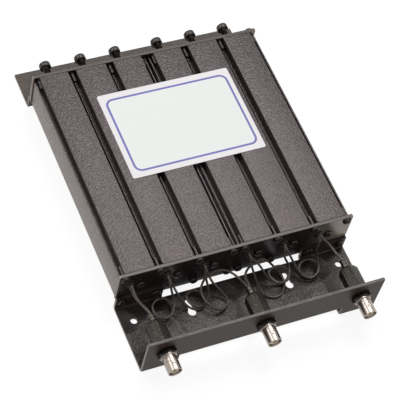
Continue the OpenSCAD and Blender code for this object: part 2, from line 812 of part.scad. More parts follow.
lead([at_exit(5, 1), each route_6_to_jack_3, at_ferrule(2, 0)], forwards, forwards);  // lead_6_to_jack_3
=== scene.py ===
import math
from itertools import accumulate

import bpy
import numpy as np
from mathutils import Matrix, Vector
from mathutils.geometry import tessellate_polygon


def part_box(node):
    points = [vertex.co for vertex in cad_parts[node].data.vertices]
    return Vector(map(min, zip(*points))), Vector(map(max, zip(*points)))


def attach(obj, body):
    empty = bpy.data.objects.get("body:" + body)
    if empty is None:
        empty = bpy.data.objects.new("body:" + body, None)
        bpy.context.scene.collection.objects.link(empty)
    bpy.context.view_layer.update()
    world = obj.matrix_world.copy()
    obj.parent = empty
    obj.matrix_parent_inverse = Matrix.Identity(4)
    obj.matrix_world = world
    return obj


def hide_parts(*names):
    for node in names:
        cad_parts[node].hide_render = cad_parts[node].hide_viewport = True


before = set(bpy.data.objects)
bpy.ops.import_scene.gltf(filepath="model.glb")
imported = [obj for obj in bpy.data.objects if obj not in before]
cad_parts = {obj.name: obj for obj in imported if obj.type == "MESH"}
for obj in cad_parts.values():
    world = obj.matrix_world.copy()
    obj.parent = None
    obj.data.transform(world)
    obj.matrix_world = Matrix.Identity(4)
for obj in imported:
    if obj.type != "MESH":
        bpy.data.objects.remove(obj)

bl_info = {
    "name": "Cavity duplexer",
    "version": (1, 0, 0),
    "blender": (4, 5, 0),
    "location": "3D View > Sidebar > Duplexer",
    "description": "Builds the painted, turned and folded pieces of a mobile cavity duplexer round its CAD frame",
    "category": "Object",
}

# Lengths are worked out in millimetres, in the frame of the CAD model, and put into meshes in metres
MM = 0.001
SIX = range(6)
THREE = range(3)


def low(node):
    """Lowest corner of a CAD node, in millimetres."""
    return np.array(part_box(node)[0]) / MM


def high(node):
    """Highest corner of a CAD node, in millimetres."""
    return np.array(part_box(node)[1]) / MM


def middle(node):
    """Middle of a CAD node's box, in millimetres."""
    return (low(node) + high(node)) / 2


# Sizes that several pieces share
SHEET_T = 2.0  # the brackets' sheet
PLATE_T = 2.3  # the end plates
TAB_W = 33.7  # a bracket's tab
WASHER_T = 0.8  # a jack's washer
GROMMET_T = 1.2  # a feed-through's flange
EXIT_SIDE, EXIT_UP = 7.6, 2.5  # a feed-through's place beside and over its rod
LEAD_PAIR, PAIR_TURN = 1.85, 67  # distance of the two leads there, and their turn in degrees
COLUMN_OFFSETS = (14.0, 38.35)  # columns of screws, from a block's middle
ROW_INSET = 3.3  # rows of screws, from a block's top and underside

# Places read from the frame
FRONT_Y = low("front_end_plate")[1]
REAR_Y = high("rear_end_plate")[1]
LIP_Y = low("front_bracket")[1]
BLOCK_Z = low("cavity_block_left")[2]
TOP_Z = high("cavity_block_left")[2]
CAVITY_X = [middle(f"resonator_rod_{n + 1}")[0] for n in SIX]
ROD_Z = middle("resonator_rod_1")[2]
EXIT_Z = ROD_Z + EXIT_UP
JACK_X = [middle(f"connector_sleeve_{n + 1}")[0] for n in THREE]
JACK_Z = middle("connector_sleeve_1")[2]
TIP_Y = low("connector_body_1")[1]


def linear(hex_colour):
    """Turns an sRGB hex colour into linear red, green and blue."""
    value = np.array([int(hex_colour[i:i + 2], 16) for i in (1, 3, 5)]) / 255
    return tuple(np.where(value <= 0.04045, value / 12.92, ((value + 0.055) / 1.055) ** 2.4).tolist())


def colour_of(name, text, hex_colour):
    """A colour that the user can change."""
    return bpy.props.FloatVectorProperty(
        name=name, description=text, subtype="COLOR", size=3, min=0, max=1, default=linear(hex_colour))


def length_of(name, text, millimetres):
    """A length that the user can change, kept in metres."""
    return bpy.props.FloatProperty(
        name=name, description=text, unit="LENGTH", min=0, precision=5, default=millimetres * MM)


def in_mm(group, *names):
    """Lengths of a property group, in millimetres."""
    return [getattr(group, name) / MM for name in names]


def share_of(name, text, value):
    """A share from 0 to 1 that the user can change."""
    return bpy.props.FloatProperty(name=name, description=text, subtype="FACTOR", min=0, max=1, default=value)


class DuplexerEnamel(bpy.types.PropertyGroup):
    """The baked enamel on the blocks, plates and brackets"""
    block: colour_of("Blocks", "Wrinkle enamel on the extruded blocks", "#332b2a")
    bracket: colour_of("Brackets", "Wrinkle enamel on the front bracket", "#2b2524")
    plate: colour_of("End plates", "Smooth enamel on the end plates", "#1f1a19")
    # A painted reflection: warm grey at the front plate's right end, for light reflected there
    fade: colour_of("Faded enamel", "Smooth enamel at the right end of the front plate", "#a09482")
    # side is a painted reflection: a paler tone on outer walls and plate ends for the pale floor they reflect
    side: colour_of("Outer walls", "Thin enamel on outer walls", "#6e5f52")
    # edge is a painted highlight: a paler tone on upward faces above the rim, where they catch the light
    edge: colour_of("Sheared edges", "Thin enamel on the lip's sheared edge", "#666260")
    face: colour_of("Upright faces", "Smoother enamel on the lip's and tabs' faces", "#2f231c")
    # rear is a lighter copy of the same enamel, painted light for the stronger light on the rear bracket
    rear: colour_of("Rear bracket", "Wrinkle enamel on the rear bracket", "#49413a")
    grain: length_of("Wrinkle", "Distance between the enamel's wrinkles", 1.6)
    relief: length_of("Relief", "Height of the wrinkles", 0.3)
    dents: length_of("Dents", "Distance between shallow dents in the brackets", 15)
    roughness: share_of("Roughness", "Roughness between the wrinkles", 0.3)
    face_roughness: share_of("Face roughness", "Roughness of upright faces", 0.5)


class DuplexerBlock(bpy.types.PropertyGroup):
    """The section of an extruded block"""
    edge: length_of("Edge radius", "Radius on the section's corners", 0.35)
    groove_w: length_of("Groove width", "Width of a groove", 5.7)
    groove_depth: length_of("Groove depth", "Depth of a groove", 7)
    groove_pitch: length_of("Groove pitch", "Distance between a block's two grooves", 28)
    fin_t: length_of("Fin", "Thickness of the fin in a groove", 0.9)
    fin_drop: length_of("Fin drop", "Drop of fins and side walls below the panels", 3.75)
    offset: length_of("Offset", "Distance of the grooves to the left of the block's middle", 0.4)
    side_wall: length_of("Side wall", "Thickness of the outer walls", 1.2)
    side_step: length_of("Side step", "Width of the steps along the outer walls", 3.75)
    web: length_of("Web", "Thickness of the metal round the grooves", 1.6)
    panel: length_of("Panel", "Thickness of the panels", 2.2)
    cavity_side: length_of("Cavity side", "Thickness beside the outer cavities", 3.5)
    cavity_wall: length_of("Cavity wall", "Thickness between two cavities", 2.8)
    cavity_edge: length_of("Cavity edge", "Radius on the cavities' corners", 0.8)


class DuplexerHardware(bpy.types.PropertyGroup):
    """Screws, nuts, caps and threads"""
    black_steel: colour_of("Black oxide", "Blackened screws", "#332f2c")
    zinc: colour_of("Zinc", "Zinc-plated nuts and washers", "#b9b6b0")
    brass: colour_of("Brass", "Tuning screws and bushings", "#b79a5e")
    copper: colour_of("Copper", "Coupling loops", "#b5744a")
    cap: colour_of("Caps", "Moulded caps on the tuning screws", "#241f1d")
    bushing: colour_of("Bushings", "Moulded feed-through bushings", "#26231f")
    head_d: length_of("Head", "Diameter of the plates' screw heads", 6.2)
    head_h: length_of("Head height", "Height of the plates' screw heads", 2.1)
    pitch: length_of("Thread pitch", "Pitch of the visible threads", 0.8)
    thread: length_of("Thread depth", "Depth of the visible threads", 0.35)


class DuplexerJack(bpy.types.PropertyGroup):
    """The bayonet jacks and their sleeves"""
    nickel: colour_of("Nickel", "Bright nickel on brass", "#a59c94")
    insulator: colour_of("Insulator", "Turned fluoropolymer", "#e6d6bf")
    contact: colour_of("Contact", "Gold flash on the centre contact", "#8d6f3a")
    sleeve: colour_of("Sleeve", "Painted hexagonal sleeve", "#181712")
    # The ferrules are tin, darkened into painted shade for the dark surroundings that they reflect
    ferrule: colour_of("Ferrule", "Dull tin on the ferrules", "#45403c")


class DuplexerLead(bpy.types.PropertyGroup):
    """The thin coaxial leads"""
    jacket: colour_of("Jacket", "Extruded jacket", "#5a504b")
    diameter: length_of("Diameter", "Outer diameter of a lead", 1.6)
    sides: bpy.props.IntProperty(name="Sides", description="Sides of a lead's section", min=8, max=32, default=16)


class DuplexerLabel(bpy.types.PropertyGroup):
    """The blank label on top"""
    field: colour_of("Field", "White foil", "#fbf7f9")
    border: colour_of("Border", "Printed border line", "#6f6ebc")
    line: length_of("Line", "Width of the border line", 1.6)
    corner: length_of("Corner", "Radius of the border line's corners", 5)
    across: length_of("Across", "Width of the border line's rectangle", 90.3)
    along: length_of("Along", "Length of the border line's rectangle", 61.0)


class DuplexerStage(bpy.types.PropertyGroup):
    """Floor, light and camera"""
    floor: colour_of("Floor", "Pale table top", "#ecebe9")
    glow: bpy.props.FloatProperty(
        name="Glow", description="Brightness of the floor's own light", min=0, max=4, default=1.13)
    place: bpy.props.FloatVectorProperty(
        name="Camera", description="Camera's place", subtype="TRANSLATION", unit="LENGTH", size=3, precision=5,
        default=(-0.38255, -0.53208, 0.9195))
    azimuth: bpy.props.FloatProperty(
        name="Azimuth", description="Camera's turn round the part", subtype="ANGLE", default=math.radians(36.181))
    elevation: bpy.props.FloatProperty(
        name="Elevation", description="Camera's height over the horizon", subtype="ANGLE",
        default=math.radians(54.542))
    roll: bpy.props.FloatProperty(
        name="Roll", description="Camera's roll", subtype="ANGLE", default=math.radians(16.525))
    lens: bpy.props.FloatProperty(
        name="Lens", description="Focal length for a 36 mm sensor", min=10, max=400, default=146.09)
    world: bpy.props.FloatProperty(
        name="Surroundings", description="Strength of the even light", min=0, max=4, default=0.26)
    top: bpy.props.FloatProperty(
        name="Top", description="Power of the light over the rear, in watts", min=0, max=500, default=9.4)
    left: bpy.props.FloatProperty(
        name="Left", description="Power of the light over the left, in watts", min=0, max=500, default=5.5)


GROUPS = {
    "duplexer_enamel": DuplexerEnamel, "duplexer_block": DuplexerBlock, "duplexer_hardware": DuplexerHardware,
    "duplexer_jack": DuplexerJack, "duplexer_lead": DuplexerLead, "duplexer_label": DuplexerLabel,
    "duplexer_stage": DuplexerStage,
}


# Shapes

def outward(verts, quads, tris):
    """A closed shell with its faces turned outwards: the sum of a.(b x c) over its triangles is its volume's sign."""
    corners = np.vstack([quads[:, [0, 1, 2]], quads[:, [0, 2, 3]], tris])
    a, b, c = (verts[corners[:, i]] for i in range(3))
    if np.einsum("ij,ij->i", a, np.cross(b, c)).sum() < 0:
        quads, tris = quads[:, ::-1], tris[:, ::-1]
    return verts, quads, tris


def skin(points, wrap=False):
    """A shell over a grid of points: rings run along the second index and follow each other along the first.
    The last ring joins the first where wrap is set, and else both are closed by fans to their middles."""
    rows, cols = points.shape[:2]
    index = np.arange(rows * cols).reshape(rows, cols)
    near = index if wrap else index[:-1]
    far = np.roll(index, -1, 0) if wrap else index[1:]
    quads = np.stack([near, np.roll(near, -1, 1), np.roll(far, -1, 1), far], -1).reshape(-1, 4)
    verts = points.reshape(-1, 3)
    tris = np.empty((0, 3), int)
    if not wrap:
        verts = np.vstack([verts, points[0].mean(0), points[-1].mean(0)])
        start = np.stack([np.roll(index[0], -1), index[0], np.full(cols, rows * cols)], -1)
        end = np.stack([index[-1], np.roll(index[-1], -1), np.full(cols, rows * cols + 1)], -1)
        tris = np.vstack([start, end])
    return outward(verts, quads, tris)


def revolve(profile, at, axis="y", sign=1, count=48, limit=None, wrap=False):
    """Surface of revolution: the point at angle a and row v is at + h(v) along the axis + r(v) (cos a, sin a)
    across it. limit gives the largest radius at each angle, which turns a round piece into a hexagon."""
    profile = np.asarray(profile, float)
    angle = np.arange(count) * 2 * np.pi / count
    radius = np.repeat(profile[:, :1], count, 1)
    if limit is not None:
        radius = np.minimum(radius, limit(angle)[None, :])
    height = np.repeat(profile[:, 1:2], count, 1)
    first, second, third = radius * np.cos(angle), radius * np.sin(angle), height * sign
    order = {"x": (third, first, second), "y": (first, third, second), "z": (first, second, third)}[axis]
    return skin(np.stack(order, -1) + np.asarray(at, float), wrap)


def hexagon(across_flats):
    """Radius of a hexagon with a corner on the second axis: half its width over cos of the angle to a flat."""
    return lambda angle: across_flats / 2 / np.cos(np.mod(angle - np.pi / 2, np.pi / 3) - np.pi / 6)


def nut_profile(across_flats, thickness, bore, bevel, face, rows):
    """Profile of a nut with both faces chamfered: it rises by half of the way out from the face's radius to the
    corners' radius, and the limit of a hexagon then takes off what stands over the flats."""
    out = np.linspace(face, across_flats / 2 / math.cos(math.pi / 6), rows)
    outer = [(bore, bevel), (bore + bevel, 0.0), *zip(out, (out - face) * 0.5)]
    return outer + [(r, thickness - h) for r, h in outer[::-1]]


def threaded(radius, pitch, depth, start, end, rows=6):
    """Profile rows of a thread between two heights, for ring-shaped grooves of a triangular section."""
    heights = np.arange(start, end, pitch / rows)
    wave = np.abs(2 * np.mod(heights / pitch, 1) - 1)
    return np.stack([radius - depth * wave, heights], -1).tolist()


def rounded(outline, radius, steps=3):
    """The outline with each corner P drawn as (1-s)^2 A + 2 s (1-s) P + s^2 C, where A and C lie on the two
    sides, at most radius or half a side away from it."""
    outline = np.asarray(outline, float)

    def towards(other):
        side = other - outline
        length = np.linalg.norm(side, axis=1, keepdims=True)
        return (outline + side / length * np.minimum(radius, 0.48 * length))[:, None]
    a, c = towards(np.roll(outline, 1, 0)), towards(np.roll(outline, -1, 0))
    s = np.linspace(0, 1, steps + 1)[None, :, None]
    return ((1 - s) ** 2 * a + 2 * s * (1 - s) * outline[:, None] + s ** 2 * c).reshape(-1, 2)


def area(loop):
    """Signed area of a closed outline: half the sum of x(i) z(i+1) - x(i+1) z(i)."""
    after = np.roll(loop, -1, 0)
    return (loop[:, 0] * after[:, 1] - after[:, 0] * loop[:, 1]).sum() / 2


def prism(loops, y_near, y_far):
    """Extrusion along Y of an outline with holes: each wall is the loop at both ends, and the ends are
    triangulated between the loops."""
    loops = [loop if (area(loop) > 0) == (i == 0) else loop[::-1] for i, loop in enumerate(loops)]
    flat = np.vstack(loops)
    count = len(flat)
    verts = np.vstack([np.insert(flat, 1, y, axis=1) for y in (y_near, y_far)])
    starts = np.cumsum([0] + [len(loop) for loop in loops])
    here = np.concatenate([np.arange(len(loop)) + s for loop, s in zip(loops, starts)])
    after = np.concatenate([np.roll(np.arange(len(loop)), -1) + s for loop, s in zip(loops, starts)])
    quads = np.stack([here, after, after + count, here + count], -1)
    caps = np.array(tessellate_polygon([[Vector((x, z, 0)) for x, z in loop] for loop in loops]))
    a, b, c = (flat[caps[:, i]] for i in range(3))
    turn = (b[:, 0] - a[:, 0]) * (c[:, 1] - a[:, 1]) - (c[:, 0] - a[:, 0]) * (b[:, 1] - a[:, 1])
    caps = np.where((turn > 0)[:, None], caps, caps[:, ::-1])
    return outward(verts, quads, np.vstack([caps[:, ::-1], caps + count]))


def spline(points, first, last, step):
    """The cubic spline through the points over their chord length, which leaves and arrives in two given
    directions: its slopes solve one linear system, and each span is a Hermite curve."""
    points = np.asarray(points, float)
    knots = np.concatenate([[0], np.cumsum(np.linalg.norm(np.diff(points, axis=0), axis=1))])
    span = np.diff(knots)[:, None]
    slope = np.diff(points, axis=0) / span
    count = len(points)
    inner = np.arange(1, count - 1)
    system = np.eye(count)
    system[inner, inner - 1] = span[1:, 0]
    system[inner, inner] = 2 * (span[:-1, 0] + span[1:, 0])
    system[inner, inner + 1] = span[:-1, 0]
    wanted = np.vstack([first, 3 * (span[1:] * slope[:-1] + span[:-1] * slope[1:]), last])
    slopes = np.linalg.solve(system, wanted)
    along = np.linspace(0, knots[-1], max(8, int(knots[-1] / step)))
    k = np.clip(np.searchsorted(knots, along, "right") - 1, 0, count - 2)
    u = ((along - knots[k]) / span[k, 0])[:, None]
    return ((1 + 2 * u) * (1 - u) ** 2 * points[k] + u * (1 - u) ** 2 * span[k] * slopes[k]
            + u ** 2 * (3 - 2 * u) * points[k + 1] + u ** 2 * (u - 1) * span[k] * slopes[k + 1])


def tube(path, radius, count):
    """A round tube: each ring is the path's point + radius (cos a side + sin a up), where side is the last
    ring's side laid square to the new direction, so that the tube doesn't twist."""
    tangent = np.gradient(path, axis=0)
    tangent /= np.linalg.norm(tangent, axis=1, keepdims=True)

    def lay(side, direction):
        side = side - (side @ direction) * direction
        return side / np.linalg.norm(side)
    side = np.array(list(accumulate(tangent, lay, initial=np.array([0.0, 0.0, 1.0]))))[1:]
    up = np.cross(tangent, side)
    angle = (np.arange(count) * 2 * np.pi / count)[None, :, None]
    return skin(path[:, None] + radius * (np.cos(angle) * side[:, None] + np.sin(angle) * up[:, None]))


def pan_screw(at, sign, head_d, head_h, shank_d, shank_l, turn=0.0, count=48):
    """Pan-head screw along Y: height over the flat is H (0.42 + 0.58 (1 - (r/R)^2.6)^0.6) less a cross recess,
    whose arms deepen towards the middle; rim, underside and shank follow as plain rings."""
    radius = head_d / 2
    r = np.concatenate([np.linspace(0.06, 0.72, 15), np.linspace(0.76, 1, 7)]) * radius
    angle = np.arange(count) * 2 * np.pi / count
    dome = head_h * (0.42 + 0.58 * (1 - (r / radius) ** 2.6) ** 0.6)
    x, z = r[:, None] * np.cos(angle), r[:, None] * np.sin(angle)
    half_span, half_width, depth = 0.56 * radius, 0.13 * radius, 0.5 * head_h
    recess = np.zeros_like(x)
    for arm in (turn, turn + np.pi / 2):
        along = np.abs(x * np.cos(arm) + z * np.sin(arm))
        across = np.abs(z * np.cos(arm) - x * np.sin(arm))
        inside = np.clip((half_width - across) / 0.14 + 0.5, 0, 1) * np.clip((half_span - along) / 0.3 + 0.5, 0, 1)
        recess = np.maximum(recess, inside * (1 - 0.6 * along / half_span))
    head = np.stack([x, dome[:, None] - depth * recess, z], -1)
    plain = np.array([
        [radius, 0.12 * head_h], [radius * 0.97, 0.0], [shank_d / 2, 0.0],
        [shank_d / 2, -shank_l + 0.4], [shank_d / 2 - 0.4, -shank_l],
    ])
    rest = np.stack([
        plain[:, :1] * np.cos(angle), np.repeat(plain[:, 1:], count, 1), plain[:, :1] * np.sin(angle)], -1)
    points = np.vstack([head, rest])
    points[..., 1] *= sign
    return skin(points + np.asarray(at, float))


def build(name, shells, material, body="housing", replaces=(), sharp=35):
    """Puts closed shells into one mesh, shades it smooth but for its sharp edges, hangs it from its body's empty and
    hides the CAD nodes that it replaces.
    """
    verts, faces, start = [], [], 0
    for points, quads, tris in shells:
        verts.append(points * MM)
        faces += (quads + start).tolist() + (tris + start).tolist()
        start += len(points)
    mesh = bpy.data.meshes.new(name)
    mesh.from_pydata(np.vstack(verts).tolist(), [], faces)
    mesh.shade_smooth()
    mesh.set_sharp_from_angle(angle=math.radians(sharp))
    mesh.materials.append(material)
    piece = bpy.data.objects.new(name, mesh)
    bpy.context.scene.collection.objects.link(piece)
    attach(piece, body)
    if replaces:
        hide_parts(*replaces)
    return piece


def dress(node, material):
    """Gives a CAD node that stays in view its own material."""
    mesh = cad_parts[node].data
    mesh.materials.clear()
    mesh.materials.append(material)


# Materials

# Map Range limits that give 1 where a face looks straight along an axis and 0 where it is turned well away
SQUARE_ON = {"From Min": 0.7, "From Max": 0.95}
# Painted shade between the film's ridges and painted highlight on them: how much darker and paler the colour is made
RIDGE_SHADE, RIDGE_HIGHLIGHT = 0.6, 1.5
# Painted reflection: warm grey between these distances from the front plate's right end, side colour on its last
# stretch
REFLECTION_FROM, REFLECTION_TO, END_STRIP = 33, 3, 1
# Width over which one finish passes into another
BLUR = 0.2


def add(tree, kind, inputs=None, **settings):
    """Adds a node, sets its own settings, and sets each input, or links it to a socket or to the first output
    in use of another node."""
    node = tree.nodes.new(f"ShaderNode{kind}")
    for name, value in settings.items():
        setattr(node, name, value)
    for socket, value in (inputs or {}).items():
        if isinstance(value, bpy.types.Node):
            value = next(output for output in value.outputs if output.enabled)
        if isinstance(value, bpy.types.NodeSocket):
            tree.links.new(value, node.inputs[socket])
        else:
            node.inputs[socket].default_value = value
    return node


def opaque(colour, factor=1.0):
    """A linear colour, made lighter or darker, with full alpha."""
    return (*(min(1.0, c * factor) for c in colour), 1.0)


def blank(name):
    """A material with an empty node tree, that tree, and its Object coordinates."""
    material = bpy.data.materials.new(name)
    material.use_nodes = True
    tree = material.node_tree
    tree.nodes.clear()
    return material, tree, add(tree, "TexCoord").outputs["Object"]


def coat(material, tree, inputs):
    """Gives the material one Principled surface with those inputs."""
    add(tree, "OutputMaterial", {"Surface": add(tree, "BsdfPrincipled", inputs)})
    return material


def mottle(tree, where, millimetres, detail=2.0, distortion=0.0):
    """Noise with a grain of that size, spread to the whole range from 0 to 1."""
    cloud = add(tree, "TexNoise", {
        "Vector": where, "Scale": 1 / (millimetres * MM), "Detail": detail, "Distortion": distortion})
    return add(tree, "MapRange", {"Value": cloud, "From Min": 0.3, "From Max": 0.7})


def wrinkle_enamel(name, colour, enamel, coarse=(0.0, 1.0), edge=0.0, waves=0.0, relief=1.0, ior=1.55,
                   tint=(1, 1, 1), wall=0.0, rim=1.0, front=1.0):
    """Baked wrinkle enamel: it dries into blunt ridges that break up reflections into small flecks. The ridges
    run together into coarser ones where the film is thicker, from coarse[0] to coarse[1] along Y. edge is the
    radius in mm that corners show, and waves the depth in mm of shallow round dents in faces that point up.
    Faces that point sideways more than wall from the middle take the side colour, a painted reflection, and
    those that point up above rim the edge colour, a painted highlight, both in metres; the film is nearly smooth
    on faces along Y. front is how much paler the fine-grained front is painted, a painted highlight."""
    material, tree, where = blank(name)
    facing = add(tree, "SeparateXYZ", {0: add(tree, "NewGeometry").outputs["Normal"]}).outputs
    place = add(tree, "SeparateXYZ", {0: where}).outputs
    grain = enamel.grain / MM
    ridges = mottle(tree, where, grain, 2.0, 0.8)
    large = mottle(tree, where, grain * 1.8, 1.0, 1.4)
    fine = mottle(tree, where, grain * 0.55, 1.0)
    patches = mottle(tree, where, grain * 14)
    # From front to rear the film grows coarser and the front's painted highlight fades out
    coarseness_and_highlight_fade = add(tree, "MapRange", {
        "Value": place[1], "From Min": FRONT_Y * MM, "From Max": REAR_Y * MM, "To Min": coarse[0], "To Max": coarse[1]})
    film = add(tree, "Mix", {0: coarseness_and_highlight_fade, 2: ridges, 3: large})
    height = add(tree, "Mix", {0: 0.25, 2: film, 3: fine})

    # Where the colour is painted paler: a painted reflection on outer walls, a painted highlight on rims
    across, along = (add(tree, "Math", {0: facing[axis]}, operation="ABSOLUTE") for axis in (0, 1))
    sideways, lengthways, upwards = (
        add(tree, "MapRange", {"Value": value, **SQUARE_ON}) for value in (across, along, facing[2]))
    aside = add(tree, "Math", {0: place[0]}, operation="ABSOLUTE")
    outer = add(tree, "Math", {0: aside, 1: wall}, operation="GREATER_THAN")
    above = add(tree, "Math", {0: place[2], 1: rim}, operation="GREATER_THAN")
    on_walls = add(tree, "Math", {0: sideways, 1: outer}, operation="MULTIPLY")
    on_rims = add(tree, "Math", {0: upwards, 1: above}, operation="MULTIPLY")
    painted_light_mask = add(tree, "Math", {0: on_walls, 1: on_rims}, operation="MAXIMUM")

    # Colour: painted shade between the ridges, painted highlight on them and at the front
    front_highlight_tone, rear_tone = (
        add(tree, "Mix", {0: height, 6: opaque(colour, RIDGE_SHADE * paler), 7: opaque(colour, RIDGE_HIGHLIGHT * paler)},
            data_type="RGBA") for paler in (front, 1.0))
    # Painted highlight: the front is painted paler by the factor front, fading towards the rear
    tone = add(tree, "Mix", {0: coarseness_and_highlight_fade, 6: front_highlight_tone, 7: rear_tone}, data_type="RGBA")
    patchy = add(tree, "MapRange", {"Value": patches, "To Max": 0.35})
    tone = add(tree, "Mix", {0: patchy, 6: tone, 7: opaque(colour, 0.85)}, data_type="RGBA")
    tone = add(tree, "Mix", {0: lengthways, 6: tone, 7: opaque(enamel.face)}, data_type="RGBA")
    # Painted light: the side colour is a painted reflection on walls, the edge colour a painted highlight on rims
    painted_light_tone = add(tree, "Mix", {0: upwards, 6: opaque(enamel.side), 7: opaque(enamel.edge)}, data_type="RGBA")
    # Painted shade in the hollows and painted highlight on the crests, over the walls' and rims' painted light too
    painted_hollow_shade, painted_crest_highlight = (add(tree, "Mix", {0: share, 6: painted_light_tone, 7: towards}, data_type="RGBA")
                     for share, towards in ((0.3, (0, 0, 0, 1)), (0.05, (1, 1, 1, 1))))
    painted_light_tone = add(tree, "Mix", {0: height, 6: painted_hollow_shade, 7: painted_crest_highlight}, data_type="RGBA")
    shade = add(tree, "Mix", {0: painted_light_mask, 6: tone, 7: painted_light_tone}, data_type="RGBA")

    # Gloss and relief
    rough = add(tree, "MapRange", {
        "Value": height, "To Min": enamel.roughness + 0.08, "To Max": enamel.roughness - 0.06})
    rough = add(tree, "Mix", {0: lengthways, 2: rough, 3: enamel.face_roughness})
    under = {}
    if edge:
        under = {"Normal": add(tree, "Bevel", {"Radius": edge * MM}, samples=4)}
    if waves:
        cells = add(tree, "TexVoronoi", {"Vector": where, "Scale": 1 / enamel.dents, "Smoothness": 0.5},
                    feature="SMOOTH_F1")
        swell = add(tree, "Math", {0: cells, 1: cells}, operation="MULTIPLY")
        under = {"Normal": add(tree, "Bump", {
            "Strength": upwards, "Distance": waves * MM, "Height": swell, **under})}
    strength = add(tree, "MapRange", {"Value": lengthways, "To Min": 0.8, "To Max": 0.12})
    bump = add(tree, "Bump", {"Strength": strength, "Distance": enamel.relief * relief, "Height": height, **under})
    return coat(material, tree, {
        "Base Color": shade, "Roughness": rough, "Normal": bump, "IOR": ior, "Specular Tint": (*tint, 1)})


def smooth_enamel(name, enamel):
    """Sprayed black enamel: nearly smooth, semi-gloss, with a slight orange peel. It is rougher on the sheared
    edges. Sideways faces take a painted reflection, and the front's right end a warm grey painted reflection."""
    material, tree, where = blank(name)
    peel = mottle(tree, where, 1.6)
    soft = add(tree, "Bevel", {"Radius": 0.3 * MM}, samples=4)
    bump = add(tree, "Bump", {"Strength": 0.25, "Distance": 0.03 * MM, "Height": peel, "Normal": soft})
    facing = add(tree, "SeparateXYZ", {0: add(tree, "NewGeometry").outputs["Normal"]}).outputs
    place = add(tree, "SeparateXYZ", {0: where}).outputs
    across, along, aside = (
        add(tree, "Math", {0: value}, operation="ABSOLUTE") for value in (facing[0], facing[1], place[0]))
    sideways = add(tree, "MapRange", {"Value": across, **SQUARE_ON})
    end = high("front_end_plate")[0]
    right = add(tree, "MapRange", {
        "Value": place[0], "From Min": (end - REFLECTION_FROM) * MM, "From Max": (end - REFLECTION_TO) * MM})
    backwards = add(tree, "Math", {0: facing[1], 1: -1.0}, operation="MULTIPLY")
    forwards = add(tree, "MapRange", {"Value": backwards, "From Min": 0.5, "From Max": 0.9})
    # Painted reflection: the front face turns warm grey towards its right end
    reflection_share = add(tree, "Math", {0: right, 1: forwards}, operation="MULTIPLY")
    shade = add(tree, "Mix", {0: reflection_share, 6: opaque(enamel.plate), 7: opaque(enamel.fade)}, data_type="RGBA")
    strip = add(tree, "MapRange", {
        "Value": aside, "From Min": (end - END_STRIP) * MM, "From Max": (end - END_STRIP + BLUR) * MM})
    # Sideways faces and the plate's last stretch take the side colour, the walls' painted reflection
    painted_light_mask = add(tree, "Math", {0: sideways, 1: strip}, operation="MAXIMUM")
    shade = add(tree, "Mix", {0: painted_light_mask, 6: shade, 7: opaque(enamel.side)}, data_type="RGBA")
    rough = add(tree, "MapRange", {"Value": along, "To Min": 0.4, "To Max": 0.27})
    return coat(material, tree, {
        "Base Color": shade, "Roughness": rough, "Normal": bump, "IOR": 1.65, "Specular Tint": (1, 0.9, 0.88, 1)})


def turned_metal(name, colour, roughness, ring=0.25, relief=0.004):
    """Metal turned on a lathe along Y and plated: fine rings round the axis, a little uneven in gloss."""
    material, tree, where = blank(name)
    squeezed = add(tree, "Mapping", {"Vector": where, "Scale": (0.04, 1.0, 0.04)})
    rings = mottle(tree, squeezed, ring, 1.0)
    haze = mottle(tree, where, 2.5)
    rough = add(tree, "MapRange", {"Value": haze, "To Min": roughness * 0.75, "To Max": roughness * 1.35})
    bump = add(tree, "Bump", {"Strength": 0.5, "Distance": relief * MM, "Height": rings})
    return coat(material, tree, {
        "Base Color": opaque(colour), "Metallic": 1.0, "Roughness": rough, "Normal": bump})


def black_oxide(name, colour):
    """Blackened steel with a film of oil: dark metal, soft gloss, rubbed a little lighter in patches."""
    material, tree, where = blank(name)
    rubbed = mottle(tree, where, 1.2)
    shade = add(tree, "Mix", {0: rubbed, 6: opaque(colour, 0.7), 7: opaque(colour, 1.6)}, data_type="RGBA")
    rough = add(tree, "MapRange", {"Value": rubbed, "To Min": 0.18, "To Max": 0.3})
    bump = add(tree, "Bump", {"Strength": 0.3, "Distance": 0.01 * MM, "Height": rubbed})
    return coat(material, tree, {
        "Base Color": shade, "Metallic": 0.75, "Roughness": rough, "IOR": 1.5, "Normal": bump})


def moulded(name, colour, roughness):
    """Moulded or extruded plastic: even colour with a faint cloud, and a fine skin."""
    material, tree, where = blank(name)
    cloud = mottle(tree, where, 4)
    fine = mottle(tree, where, 0.6)
    shade = add(tree, "Mix", {0: cloud, 6: opaque(colour, 0.88), 7: opaque(colour, 1.12)}, data_type="RGBA")
    rough = add(tree, "MapRange", {"Value": fine, "To Min": roughness * 0.85, "To Max": roughness * 1.15})
    bump = add(tree, "Bump", {"Strength": 0.2, "Distance": 0.01 * MM, "Height": fine})
    return coat(material, tree, {"Base Color": shade, "Roughness": rough, "IOR": 1.47, "Normal": bump})


